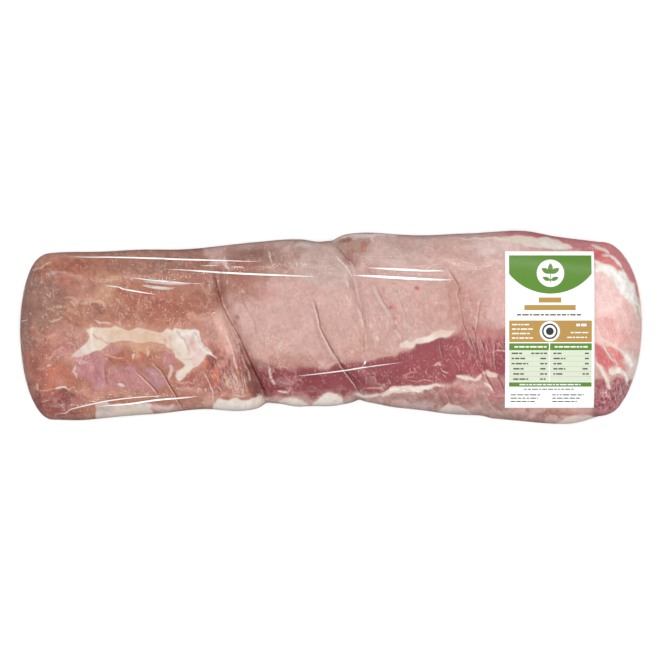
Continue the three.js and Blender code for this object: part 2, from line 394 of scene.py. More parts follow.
def make_net(step):
    """Points and outward directions of the smooth form, row after row, and the net's rows and columns."""
    points = form_points(net_rows(step), net_turns(step))
    along = np.gradient(points, axis=0)
    around = np.roll(points, -1, axis=1) - np.roll(points, 1, axis=1)
    outwards = np.cross(around, along)
    outwards = outwards / np.maximum(np.linalg.norm(outwards, axis=2, keepdims=True), 1e-9)
    return points.reshape(-1, 3), outwards.reshape(-1, 3), points.shape[:2]


def net_faces(rows, columns):
    """Faces of a net that closes round the loin, with one more point at each tip."""
    start = np.arange(rows - 1)[:, None] * columns
    j = np.arange(columns)[None, :]
    after = (j + 1) % columns
    quads = np.stack([start + j, start + after, start + columns + after, start + columns + j], axis=2)
    blunt_tip, last = rows * columns, (rows - 1) * columns
    caps = [[blunt_tip, b, a] for a, b in zip(j[0].tolist(), after[0].tolist())]
    caps += [[blunt_tip + 1, last + a, last + b] for a, b in zip(j[0].tolist(), after[0].tolist())]
    return quads.reshape(-1, 4).tolist() + caps


def mesh_piece(name, points, faces):
    """A smooth mesh object from points in millimetres, at the frame's origin."""
    mesh = bpy.data.meshes.new(name)
    mesh.from_pydata((np.asarray(points) * MM).tolist(), [], faces)
    mesh.shade_smooth()
    return add_object(name, mesh)


print(f"A net of 1.4 mm has {len(net_rows(1.4))} rows of {len(net_turns(1.4))} points")

# %% [markdown]
# ## The film
#
# Shrink film clings everywhere and bridges only the bottom of the creases, so it takes the outer form
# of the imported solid. One closed skin is enough: the film is thinner than anything the eye can tell.

# %% Film skin
FILM_STEP = 1.5
FILM_INSET = 0.2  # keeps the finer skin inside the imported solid's box
TIP_INSET = 0.8
WRINKLE_SHARE = 0.7  # how much of the finer wrinkles the film follows
TIP_PLACES = [(-LENGTH / 2, TIP_Y[0]), (LENGTH / 2, TIP_Y[1])]


def flat_place(points, outwards):
    """Places on the painted sheet: seen from above, with what is under the widest line folded out."""
    flat = outwards[:, :2]
    level = flat / np.maximum(np.linalg.norm(flat, axis=1, keepdims=True), 1e-9)
    return points[:, :2] + level * np.maximum(WIDEST_Z - points[:, 2], 0)[:, None]


def press(points, outwards, relief, foot):
    """Moves points outwards by their relief, and flattens what would reach below the foot."""
    moved = points + outwards * relief[:, None]
    moved[:, 2] = np.maximum(moved[:, 2], foot)
    return moved


def with_tips(points, inset):
    """Adds the two tip points that close a net."""
    inset += TIP_INSET
    tips = [(-LENGTH / 2 + inset, TIP_Y[0], WIDEST_Z), (LENGTH / 2 - inset, TIP_Y[1], WIDEST_Z)]
    return np.concatenate([points, tips])


def film_relief(place, height):
    """How far the film stands out from the smooth form."""
    return large_relief(place, height) + WRINKLE_SHARE * fine_relief(place, height) - FILM_INSET


smooth_points, smooth_outwards, net_shape = make_net(FILM_STEP)
place = smooth_points[:, :2]
height = smooth_points[:, 2]
film_points = press(smooth_points, smooth_outwards, film_relief(place, height), 0.0)
film_points = with_tips(film_points, FILM_INSET)
box_middle = (film_points.min(axis=0) + film_points.max(axis=0)) / 2
SHIFT = np.array([-box_middle[0], -box_middle[1], 0.0])
film = mesh_piece("film", film_points + SHIFT, net_faces(*net_shape))
film_sheet = np.concatenate([flat_place(smooth_points, smooth_outwards), TIP_PLACES])
print(f"Film: {len(film.data.polygons)} faces, {film.dimensions.x / MM:.1f} mm long; shift {SHIFT}")

# %% [markdown]
# ## Node helpers
#
# Materials and Geometry Nodes trees are both graphs. One small helper adds a node and fills its inputs,
# either with a value or with another node's output, so that each tree below reads like a recipe.

# %% A node with its inputs filled


def put(tree, kind, inputs=None, **settings):
    """Adds a node; inputs maps a socket's name or number to a value or to another node's output."""
    node = tree.nodes.new(kind)
    for name, value in settings.items():
        setattr(node, name, value)
    for key, value in (inputs or {}).items():
        socket = node.inputs[key]
        if isinstance(value, bpy.types.NodeSocket):
            tree.links.new(value, socket)
        else:
            socket.default_value = value
    return node


def made(tree, kind, inputs=None, **settings):
    """Adds a node and gives its first output."""
    return put(tree, kind, inputs, **settings).outputs[0]


def new_finish(name):
    """An empty material and its tree, with only the output node in it."""
    finish = bpy.data.materials.new(name)
    finish.use_nodes = True
    finish.node_tree.nodes.clear()
    return finish, finish.node_tree, finish.node_tree.nodes.new("ShaderNodeOutputMaterial")


def coat(tree, output, inputs):
    """Ends a material in an all-round shader with the given inputs."""
    tree.links.new(made(tree, "ShaderNodeBsdfPrincipled", inputs), output.inputs["Surface"])


def blend(tree, share, low, high, how="MIX"):
    """A colour mix of two colours or outputs."""
    mix = put(tree, "ShaderNodeMix", data_type="RGBA", blend_type=how)
    for socket, value in ((mix.inputs[0], share), (mix.inputs[6], low), (mix.inputs[7], high)):
        if isinstance(value, bpy.types.NodeSocket):
            tree.links.new(value, socket)
        else:
            socket.default_value = value
    return mix.outputs[2]


def tinted(tree, colour, tint):
    """A colour as it shows through a tint."""
    return blend(tree, 1.0, colour, tint, "MULTIPLY")


def maths(tree, operation, a, b=0.0, c=0.0):
    """One sum of two or three numbers or outputs."""
    return made(tree, "ShaderNodeMath", {0: a, 1: b, 2: c}, operation=operation)


def times(tree, a, b):
    """One number or output times another."""
    return maths(tree, "MULTIPLY", a, b)


def beside(tree, share):
    """What is left of 1 beside a share."""
    return maths(tree, "SUBTRACT", 1.0, share)


def known(tree, name, kind="Fac"):
    """An attribute of the mesh's points."""
    return put(tree, "ShaderNodeAttribute", attribute_name=name).outputs[kind]


def own_place(tree):
    """The place of each spot on its own piece."""
    return put(tree, "ShaderNodeTexCoord").outputs["Object"]


def ramp(tree, value, low, high):
    """0 below low, 1 above high, smooth between."""
    ends = {0: value, 1: low, 2: high}
    return made(tree, "ShaderNodeMapRange", ends, interpolation_type="SMOOTHSTEP")


def between(tree, value, low, high):
    """A number from low to high, for a value from 0 to 1."""
    return made(tree, "ShaderNodeMapRange", {0: value, 3: low, 4: high})


def bumpy(tree, relief, strength, depth):
    """The surface's directions, bent by bumps of a depth in millimetres."""
    return made(tree, "ShaderNodeBump", {"Height": relief, "Strength": strength, "Distance": depth * MM})


def grain(tree, place_socket, size, stretch=(1, 1, 1), turn=0.0, detail=4.0, roughness=0.55):
    """Noise whose features have the given size in millimetres, stretched along turned axes."""
    lie = made(tree, "ShaderNodeMapping", {
        "Vector": place_socket, "Rotation": (0, 0, turn), "Scale": tuple(1 / s for s in stretch),
    }, vector_type="TEXTURE")
    return put(tree, "ShaderNodeTexNoise", {
        "Vector": lie, "Scale": 1 / (size * MM), "Detail": detail, "Roughness": roughness,
    }).outputs["Fac"]


print("Helpers ready")

# %% [markdown]
# ## Finish of the film
#
# Clear film is seen only by what it reflects. So its shader lets light straight through and adds a
# gloss that grows towards grazing angles. Fine bumps, long in the direction in which the film was
# pulled, break up the reflections. Light that runs along the film crosses much of it, and the film's
# see-through colour is darkened there far more than that would do: a painted shade along the outline of
# the pack. From the start of the round end this painted shade fades to a small share, so the outline
# stays bright there.

# %% Clear shrunk film
MOST_GLOSS = 0.034
# The grazing tint is painted shade on the pack's outline; past the round end's start it fades, as painted
# light that keeps that outline bright.
OUTLINE_SHADE_TINT = (0.40, 0.33, 0.32, 1)
OUTLINE_SHADE_FADES_FROM, LEAST_OUTLINE_SHADE_FROM = 190.0, 250.0  # along the loin
LEAST_OUTLINE_SHADE = 0.15
film_finish, tree, output = new_finish("clear_shrunk_film")
spot = own_place(tree)
pull = grain(tree, spot, 2.5, stretch=(0.10, 1, 1), turn=-0.05, detail=3.0)
pucker = grain(tree, spot, 6.0, stretch=(1, 0.5, 1), turn=0.35)
bumps = maths(tree, "MULTIPLY_ADD", pull, 0.6, pucker)
bent = bumpy(tree, bumps, 0.4, 0.6)
edge_gloss = made(tree, "ShaderNodeFresnel", {"IOR": 1.42, "Normal": bent})
share = maths(tree, "MINIMUM", edge_gloss, MOST_GLOSS)
slant = put(tree, "ShaderNodeLayerWeight", {"Blend": 0.5}).outputs["Facing"]
slant = maths(tree, "POWER", slant, 6.0)
along = put(tree, "ShaderNodeSeparateXYZ", {0: spot}).outputs["X"]
outline_shade_fade = {0: along, 1: OUTLINE_SHADE_FADES_FROM * MM, 2: LEAST_OUTLINE_SHADE_FROM * MM, 3: 1.0, 4: LEAST_OUTLINE_SHADE}
thick = made(tree, "ShaderNodeMapRange", outline_shade_fade)
# Painted shade on the outline, fading towards the round end.
tint = blend(tree, times(tree, slant, thick), (1, 1, 1, 1), OUTLINE_SHADE_TINT)
clear = made(tree, "ShaderNodeBsdfTransparent", {"Color": tint})
gloss = made(tree, "ShaderNodeBsdfAnisotropic", {"Roughness": 0.13, "Normal": bent})
wrap = made(tree, "ShaderNodeMixShader", {0: share, 1: clear, 2: gloss})
tree.links.new(wrap, output.inputs["Surface"])
film.data.materials.append(film_finish)
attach(film, "root")
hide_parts("wrapped_loin")
print("Film is finished")

# %% [markdown]
# ## Where fat and lean lie
#
# The loin's surface is a map of a few kinds of tissue. Patches with a firm outline are drawn here as
# closed outlines, and strands as routes, all seen from above and in millimetres. Each point of the meat
# will know how far inside the nearest fat it lies. That one number does two jobs: fat swells a little
# out of the lean, and the shader finds the fat's edge in it, much more finely than the points
# themselves stand.

# %% Outlines of fat
BLUNT_FAT = [(-229, -28), (-214, -13), (-211, -8), (-212, -5), (-215, -1), (-206, 1), (-193, -1),
    (-189, 0), (-176, -2), (-168, -1), (-151, -4), (-147, -4), (-143, -1), (-139, -3), (-135, -1),
    (-130, -3), (-120, 0), (-115, -2), (-113, -13), (-100, -27), (-108, -23), (-110, -24), (-112, -29),
    (-115, -33), (-121, -35), (-132, -47), (-135, -46), (-137, -41), (-136, -38), (-129, -35),
    (-127, -33), (-132, -29), (-136, -27), (-137, -23), (-139, -20), (-147, -15), (-154, -13),
    (-163, -13), (-170, -14), (-182, -10), (-188, -11), (-194, -14), (-199, -19), (-217, -25),
    (-224, -26)]
EDGE_FAT = [(-206, -67), (-196, -66), (-194, -68), (-158, -66), (-157, -68), (-159, -71), (-156, -75),
    (-151, -124), (-214, -124), (-206, -75)]
FIRST_LUMP = [(-103, -68), (-98, -62), (-91, -65), (-82, -62), (-78, -64), (-63, -63), (-59, -66),
    (-57, -70), (-53, -120), (-116, -120)]
SECOND_LUMP = [(-45, -67), (-41, -64), (-35, -63), (-25, -66), (-19, -69), (-7, -120), (-53, -120)]
THIRD_LUMP = [(-16, -66), (-5, -58), (0, -58), (5, -59), (9, -62), (11, -66), (26, -120), (-20, -120)]
FAR_SIDE_FAT = [(99, 81), (134, 80), (146, 79), (159, 81), (190, 78), (202, 76), (209, 74), (213, 70),
    (202, 69), (169, 71), (165, 73), (156, 74), (151, 76), (140, 78)]
EYE_FAT = [(231, 60), (240, 55), (245, 54), (253, 49), (259, 53), (262, 46), (268, 39), (276, 13),
    (276, 7), (272, 7), (266, 18), (255, 28), (248, 38), (237, 49), (231, 49)]
STRIP_FAT = [(60, -17), (62, -13), (66, -11), (71, -13), (77, -9), (83, -8), (91, -3), (97, -1),
    (105, -3), (109, -3), (105, -7), (85, -13), (74, -15), (71, -18)]
ROUND_FAT = [(242, -37), (253, -35), (255, -42), (253, -40), (247, -41), (243, -44), (244, -42),
    (242, -40)]
LOW_FAT = [(92, -76), (97, -71), (103, -68), (113, -70), (130, -84), (140, -110), (78, -110)]
CORNER_FAT = [(198, -84), (206, -79), (215, -77), (224, -77), (232, -80), (242, -92), (246, -108),
    (190, -108)]
FAT_PATCHES = [
    BLUNT_FAT, EDGE_FAT, FIRST_LUMP, SECOND_LUMP, THIRD_LUMP, FAR_SIDE_FAT, EYE_FAT, STRIP_FAT,
    ROUND_FAT, LOW_FAT, CORNER_FAT,
]
print(len(FAT_PATCHES), "patches of fat")

# %% Strands of fat: full width and route
FAT_STRANDS = [
    (2.2, [(21, -61), (27, -62), (48, -60)]),
    (5.6, [(44, -62), (54, -55), (66, -54), (73, -55), (84, -54)]),
    (3.2, [(77, -56), (82, -54), (93, -52)]), (2.2, [(87, -53), (93, -51), (100, -52)]),
    (4.2, [(109, -43), (126, -47)]), (2.6, [(124, -47), (129, -45), (132, -41)]),
    (4.4, [(133, -39), (146, -43)]), (2.6, [(134, -48), (141, -56)]),
    (2.6, [(232, -4), (237, -11), (257, -22)]),
    (5.2, [(253, -20), (259, -25), (263, -31), (267, -38), (268, -46)]), (2.4, [(237, -15), (251, -33)]),
    (4, [(254, -38), (258, -41), (260, -45), (261, -51)]), (2.6, [(263, -41), (267, -46)]),
    (3.6, [(231, -30), (243, -48), (243, -55)]), (3, [(228, 73), (240, 68), (243, 65)]),
    (3, [(236, 63), (243, 63), (249, 61), (257, 52)]), (2.4, [(2, 76), (8, 79), (20, 81), (60, 83)]),
    (2, [(-188, -49), (-181, -52)]),
]


def inside_by(place, outline):
    """Distance of every place from an outline's edge, positive inside it."""
    corners = np.array(outline, float)
    gap = np.full(len(place), 1e9)
    inside = np.zeros(len(place), bool)
    for start, end in zip(corners, np.roll(corners, -1, axis=0)):
        way = end - start
        share = np.clip((place - start) @ way / (way @ way), 0, 1)
        gap = np.minimum(gap, np.hypot(*(place - start - share[:, None] * way).T))
        passes = (start[1] > place[:, 1]) != (end[1] > place[:, 1])
        meets = start[0] + (place[:, 1] - start[1]) * way[0] / (way[1] if way[1] else 1e-9)
        inside ^= passes & (place[:, 0] < meets)
    return np.where(inside, gap, -gap)


def inside_strand(place, width, route):
    """The same for a strand that tapers to nothing at both ends."""
    gap, _, along, left = beside_route(place, route)
    share = along / (along + left)
    return width / 2 * np.clip(4 * share * (1 - share), 0, 1) ** 0.4 - gap


print(len(FAT_STRANDS), "strands of fat")

# %% How far inside fat each place lies
WARP = ((24.0, 2.4), (9.0, 1.2), (4.2, 0.4))
CAP_EDGE = 15.0  # the fat cap under the loin reaches about this high up its sides
NEAR_CAP_RISE = 14.0  # and this much higher on the near side, where its lumps show
CAP_WAVES = [(90, 4.0, 61), (24, 1.4, 62)]  # size, amount and seed of the waves in its edge
NO_FAT = -60.0


def warped(place, seed, strength=1.0):
    """Places pushed about by ripples, so that what is drawn there gets an uneven edge."""
    moved = place.copy()
    for i, (size, amount) in enumerate(WARP):
        moved[:, 0] += strength * amount * ripples(place, size, seed + 2 * i)
        moved[:, 1] += strength * amount * ripples(place, size, seed + 2 * i + 1)
    return moved


def fat_at(place, height):
    """Distance inside the nearest fat, negative in the lean."""
    fat = np.full(len(place), NO_FAT)
    pushed = warped(place, 40, 0.20)
    for outline in FAT_PATCHES:
        fat = np.maximum(fat, inside_by(pushed, outline))
    pushed = warped(place, 50, 0.15)
    for width, route in FAT_STRANDS:
        fat = np.maximum(fat, inside_strand(pushed, width, route))
    cap_edge = CAP_EDGE + NEAR_CAP_RISE * smooth(-place[:, 1], 0, 40)
    for size, amount, seed in CAP_WAVES:
        cap_edge += amount * ripples(place, size, seed)
    return np.maximum(fat, cap_edge - height)


print("Fat can be found")

# %% [markdown]
# ## The meat
#
# The meat fills the film. It is the same form a little further in, with sharper creases than the film
# can follow. Fat stands a little proud, muscle bundles swell between, and everything has a small
# unevenness.

# %% Meat under the film
MEAT_STEP = 1.35
FILM_GAP = 0.25
MEAT_FOOT = 0.4
FAT_SWELL = 0.7
SHARPER_DEPTH, SHARPER_REACH = 0.25, 0.35  # what the meat adds inside each crease, as shares of it
BUNDLE_SWELL, BUNDLE_SIZE = 0.30, 14.0
UNEVEN_SWELL, UNEVEN_SIZE = 0.14, 5.0
FAT_WRINKLE_DEPTH, FAT_WRINKLE_SIZE = 0.30, 8.0

smooth_points, smooth_outwards, net_shape = make_net(MEAT_STEP)
place = smooth_points[:, :2]
height = smooth_points[:, 2]
sheet = flat_place(smooth_points, smooth_outwards)
fat = fat_at(sheet, height)
calm = calm_at(sheet)
fill = film_relief(place, height) - FILM_GAP
on_top = smooth(height, WIDEST_Z, 48) * (1 - calm)
meat_relief = fill + (1 - WRINKLE_SHARE) * fine_relief(place, height)
for depth, reach, route in CREASES.values():
    sharper = crease_depth(place, SHARPER_DEPTH * depth, SHARPER_REACH * reach, route)
    meat_relief -= sharper * smooth(height, 0, WIDEST_Z)
meat_relief -= FAT_SWELL * (1 - smooth(fat, -0.5, 2.5)) * on_top
meat_relief -= BUNDLE_SWELL * (1 + ripples(sheet, BUNDLE_SIZE, 5)) * on_top
meat_relief += UNEVEN_SWELL * ripples(warped(sheet, 8), UNEVEN_SIZE, 6) * (1 - calm)
wrinkled = ripples(warped(sheet, 9), FAT_WRINKLE_SIZE, 7) - 1
meat_relief += FAT_WRINKLE_DEPTH * wrinkled * smooth(fat, 0, 3) * on_top
meat_relief = np.minimum(meat_relief, fill)
meat_points = press(smooth_points, smooth_outwards, meat_relief, MEAT_FOOT)
meat_points = with_tips(meat_points, FILM_INSET + FILM_GAP)
meat = mesh_piece("loin_meat", meat_points + SHIFT, net_faces(*net_shape))
sheet = np.concatenate([sheet, TIP_PLACES])
height = np.append(height, [WIDEST_Z, WIDEST_Z])
fat = np.append(fat, fat_at(np.array(TIP_PLACES), np.full(2, WIDEST_Z)))
print(f"Meat: {len(meat.data.polygons)} faces, {meat.dimensions.x / MM:.1f} mm long")
print("Fat covers", round(100 * float((fat > 0).mean())), "% of the points")

# %% [markdown]
# ## Colours of the meat
#
# No two parts of a loin have one colour: bare lean is brick to greyish brown where the film pressed the
# air out, membrane is a pearly pink, fresh lean is crimson, and fat is cream to white. They are laid on
# like a painter does: first soft strokes, then patches with an outline. The places are warped by
# ripples, so that nothing looks drawn with a compass. Last, painted shade darkens the meat low on its
# sides, and painted light brightens it towards both ends.

# %% Palette


def seen(red, green, blue, light=LIGHT_ON_TOP):
    """What a surface gives back of the light, if it shows as this colour (0 to 255) under the lamps."""
    parts = [v / 255 for v in (red, green, blue)]
    linear = [v / 12.92 if v <= 0.04045 else ((v + 0.055) / 1.055) ** 2.4 for v in parts]
    return tuple(v / light for v in linear)


LIGHT_THROUGH_FILM = 1.61  # the film's gloss adds a little to what the meat gives back
SEEN = {
    "terracotta": (185, 129, 110), "brick": (178, 112, 93), "dark_brick": (156, 96, 80),
    "grey_brown": (155, 117, 103), "mauve_brown": (148, 107, 98), "dark_mauve": (136, 100, 90),
    "tan": (206, 160, 132), "orange_tan": (197, 140, 116), "rose_tan": (194, 142, 130),
    "rose_brown": (176, 126, 112), "wedge_brown": (152, 88, 74), "grey_tan": (178, 146, 130),
    "dusky_red": (148, 86, 80), "dark_red": (108, 50, 50), "mauve": (198, 140, 144),
    "lilac": (193, 145, 153), "orange": (190, 116, 96), "bright_orange": (216, 128, 92),
    "rose": (203, 144, 135), "salmon": (203, 138, 132), "peach": (218, 168, 148),
    "membrane": (213, 174, 166), "warm_membrane": (208, 162, 151), "pearl": (205, 180, 172),
    "grey_pink": (184, 148, 141), "crimson": (150, 80, 86), "strip_west": (138, 66, 72),
    "brown_rose": (160, 120, 109), "grey_pearl": (196, 168, 160), "strip_middle": (154, 80, 87),
    "strip_east": (166, 90, 96), "strip_label": (178, 100, 106), "low_mauve": (168, 118, 112),
    "purple": (158, 96, 116), "rose_crimson": (176, 98, 104), "coral": (222, 132, 128),
    "rim_mauve": (206, 118, 124), "rim_red": (206, 98, 104), "corner_purple": (180, 108, 114),
    "crease_side_light": (232, 186, 172), "eye": (240, 198, 192), "eye_light": (244, 214, 211),
    "eye_warm": (236, 180, 174), "cream": (226, 204, 178), "yellow_fat": (222, 188, 158),
    "fat_white": (240, 232, 224), "fat_bright": (255, 252, 248), "fat_pink": (234, 208, 200),
    "fat_grey": (214, 202, 196), "fat_lilac": (206, 186, 186), "warm_white": (234, 204, 178),
}
PALETTE = {name: seen(*colour, light=LIGHT_THROUGH_FILM) for name, colour in SEEN.items()}
print(len(PALETTE), "named colours")

# %% Soft strokes: colour, middle, half length and width, strength, and turn in degrees if it has one
BLUNT_END_STROKES = [
    ("grey_brown", -256, 24, 24, 34, 0.95), ("mauve_brown", -248, 36, 10, 9, 0.6),
    ("mauve_brown", -266, 2, 9, 22, 0.6), ("brick", -231, 48, 14, 10, 0.9),
    ("dark_brick", -230, 50, 9, 6, 0.7), ("peach", -209, 22, 15, 5, 0.45),
    ("dark_brick", -258, 52, 11, 3, 0.6, 12), ("tan", -196, 39, 12, 9, 0.7, -15),
    ("tan", -186, 37, 12, 5, 0.4), ("tan", -190, 24, 9, 6, 0.75), ("rose_tan", -217, 31, 12, 7, 0.6),
    ("mauve_brown", -205, 15, 10, 4, 0.6), ("brick", -164, 24, 24, 10, 0.8),
    ("brick", -136, 14, 22, 12, 0.85), ("dark_brick", -120, 25, 9, 7, 0.35),
    ("orange_tan", -160, 6, 30, 5, 0.4), ("grey_brown", -152, 53, 34, 6, 0.8),
    ("mauve_brown", -131, 67, 26, 4, 0.6), ("grey_brown", -110, 55, 9, 9, 0.5),
    ("rose_brown", -116, 38, 13, 14, 0.7), ("peach", -112, 8, 12, 6, 0.7),
    ("rose_tan", -234, -6, 22, 8, 0.8), ("orange_tan", -248, -8, 9, 5, 0.5),
    ("dusky_red", -250, -20, 13, 8, 0.45, 25), ("mauve", -232, -21, 9, 6, 0.6, 20),
    ("dusky_red", -262, -32, 6, 12, 0.6), ("mauve", -216, -10, 3, 3, 0.7),
    ("rose", -207, -57, 21, 6, 0.6), ("orange_tan", -185, -60, 30, 5, 0.6),
    ("dusky_red", -244, -66, 28, 11, 0.85), ("dusky_red", -252, -77, 24, 9, 0.85),
    ("dark_red", -234, -59, 7, 3, 0.4, -20), ("dark_red", -240, -66, 7, 3, 0.4, -40),
    ("dark_red", -262, -60, 5, 12, 0.5), ("rose", -226, -68, 12, 4, 0.5, 10),
    ("tan", -164, -18, 26, 5, 0.9), ("orange", -176, -26, 20, 4, 0.8),
    ("dark_brick", -156, -23, 2, 2.5, 0.7), ("dark_brick", -148, -22, 2, 2.5, 0.6),
    ("brick", -179, -19, 6, 2, 0.6), ("dark_brick", -182, -29, 12, 2, 0.6),
    ("brick", -120, -47, 7, 6, 0.7), ("rose", -120, -57, 17, 4, 0.8),
    ("warm_membrane", -105, -4, 9, 16, 0.9, -10), ("rose_crimson", -100, -33, 12, 18, 0.55),
    ("dusky_red", -105, -29, 5, 7, 0.95, -30), ("bright_orange", -111, -34, 2.5, 4.5, 0.75),
    ("bright_orange", -100, -45, 2.6, 5, 0.95), ("crimson", -92, -31, 2.4, 5, 0.8),
    ("peach", -94, -20, 4, 14, 0.6, -15), ("salmon", -92, -60, 14, 2.5, 0.8),
]
MIDDLE_STROKES = [
    ("rose_brown", -88, 40, 9, 13, 0.9, -20), ("rose_brown", -75, 32, 15, 12, 0.85),
    ("grey_brown", -86, 56, 14, 8, 0.6), ("brown_rose", -69, 65, 17, 6.5, 0.5),
    ("grey_brown", -30, 71, 24, 4, 0.6), ("rose_brown", -70, 50, 20, 8, 0.85),
    ("rose", -57, 29, 7, 7, 0.5), ("rose_crimson", -89.5, 65, 2.6, 4, 0.7),
    ("dark_mauve", -48.4, 66.3, 2, 1.6, 0.6), ("pearl", -22, 56, 26, 16, 0.85),
    ("pearl", 6, 44, 16, 13, 0.7), ("warm_membrane", -58, -12, 20, 12, 0.6),
    ("rose_tan", -38, -31, 36, 7, 0.9, -4), ("rose_tan", 14, -27, 26, 4, 0.6, 12),
    ("mauve_brown", -61, -36, 8, 8, 0.5, -20), ("rose", -58, -58, 7, 10, 0.7),
    ("warm_membrane", 5, -12, 18, 16, 0.5), ("rose_brown", 17, 71, 14, 8, 0.5),
    ("grey_pink", 34, 58, 14, 8, 0.6), ("pearl", 60, 66, 30, 11, 0.75), ("grey_pink", 61, 77, 18, 4, 0.4),
    ("rose", 87, 66.5, 4, 2.6, 0.85), ("rose", 139.5, 66, 3, 2.6, 0.7),
    ("warm_membrane", 104, 20, 26, 22, 0.6), ("peach", 28, -14, 4, 12, 0.5, 8),
    ("rose", 53, 16, 4, 12, 0.6, 30), ("rose_tan", 108, 26, 4, 14, 0.6, -14),
    ("rose", 120, 10, 8, 18, 0.5), ("rim_red", 135.5, 10, 1.6, 6, 0.5),
    ("low_mauve", 92, -63, 48, 7, 0.95, -3), ("low_mauve", 30, -64, 14, 4, 0.6),
    ("salmon", 123, -58, 20, 5, 0.85, -8), ("grey_pink", 140, -70, 20, 8, 0.6, -12),
    ("grey_brown", 164, -80, 34, 5, 0.7),
]
ROUND_END_STROKES = [
    ("eye", 246, 14, 36, 44, 1), ("eye_light", 240, 30, 17, 18, 0.7), ("eye_warm", 256, -10, 16, 12, 0.8),
    ("eye_warm", 236, 0, 10, 7, 0.4), ("eye", 148, 20, 9, 34, 0.5), ("rose", 200, -76, 26, 5, 0.6),
    ("low_mauve", 190, -80, 26, 4, 0.7),
]
STROKES = BLUNT_END_STROKES + MIDDLE_STROKES + ROUND_END_STROKES
print(len(STROKES), "strokes")

# %% Patches of lean with an outline: colour, softness of the edge, strength, outline
LEAN_STRIP = [(-72, -28), (-66, -33), (-59, -36), (-49, -36), (-40, -37), (-33, -39), (-17, -35),
    (-10, -37), (-1, -36), (9, -32), (32, -30), (39, -28), (57, -25), (60, -22), (73, -18), (74, -15),
    (99, -9), (116, -6), (121, -3), (171, -2), (171, -42), (145, -41), (125, -44), (111, -43), (105, -50),
    (97, -50), (79, -53), (66, -52), (54, -53), (48, -58), (29, -60), (21, -58), (16, -59), (11, -62),
    (5, -58), (-1, -57), (-9, -59), (-14, -62), (-17, -61), (-26, -61), (-48, -58), (-51, -66),
    (-56, -66), (-63, -54)]
RIM_LEAN = [(182, 130), (176, 112), (161, 104), (166, 92), (150, 82), (190, 75), (209, 70), (237, 61),
    (247, 57), (259, 47), (266, 36), (271, 24), (274, 12), (330, 12), (330, 130)]
PATCHES = [
    ("low_mauve", 6, 0.55, LEAN_STRIP),
    ("strip_middle", 2, 0.95, LEAN_STRIP),
    ("rim_mauve", 1.6, 0.9, RIM_LEAN),
    # Painted shade on the east side of the main crease's upper part:
    ("wedge_brown", 2, 0.4, [(-103, 56), (-97, 57), (-93, 44), (-91, 30), (-90, 16), (-95, 20),
        (-99, 32), (-102, 44)]),
    ("mauve", 1.4, 0.9, [(-224, -26), (-208, -22), (-200, -23), (-196, -28), (-196, -35), (-198, -39),
        (-196, -45), (-196, -54), (-201, -55), (-206, -55), (-210, -54), (-211, -47), (-217, -44),
        (-220, -45), (-225, -38), (-225, -33), (-221, -33)]),
    ("mauve", 3, 0.7, [(-194, -33), (-187, -35), (-173, -33), (-166, -38), (-157, -54), (-160, -57),
        (-176, -54), (-188, -55), (-194, -54)]),
    ("lilac", 1.4, 0.85, [(-166, -36), (-160, -35), (-150, -41), (-145, -47), (-147, -52), (-152, -54),
        (-155, -52)]),
    ("orange", 3, 0.75, [(-257, -41), (-248, -35), (-239, -33), (-233, -35), (-229, -38), (-229, -42),
        (-225, -51), (-230, -54), (-235, -52), (-248, -55), (-256, -55), (-258, -51)]),
    ("dusky_red", 1, 0.6, [(-86, -20), (-82, -20), (-77, -33), (-75, -45), (-78, -47), (-85, -28)]),
    # Painted shadow in the lower part of the main crease:
    ("dark_red", 1.4, 0.65, [(-77, -18), (-74, -21), (-68, -33), (-63, -46), (-53, -67), (-62, -69),
        (-70, -59), (-74, -46), (-77, -26)]),
    ("grey_tan", 4, 0.75, [(1, 75), (17, 81), (35, 80), (35, 65), (23, 61), (21, 55)]),
    ("coral", 1.2, 0.95, [(231, 66), (235, 69), (240, 65), (238, 62), (247, 62), (256, 52), (253, 49),
        (245, 54), (240, 55), (231, 60)]),
    ("coral", 1.2, 0.9, [(240, -15), (247, -17), (252, -20), (258, -26), (263, -33), (263, -39),
        (258, -39), (255, -38), (250, -33), (242, -20)]),
    ("rim_red", 1.6, 0.85, [(231, -15), (238, -16), (242, -23), (250, -33), (243, -36), (242, -39),
        (237, -37), (231, -30)]),
    ("crimson", 1.6, 0.8, [(231, -45), (240, -45), (243, -54), (244, -47), (249, -44), (255, -45),
        (260, -50), (264, -47), (269, -47), (264, -63), (256, -75), (243, -81), (231, -79)]),
]
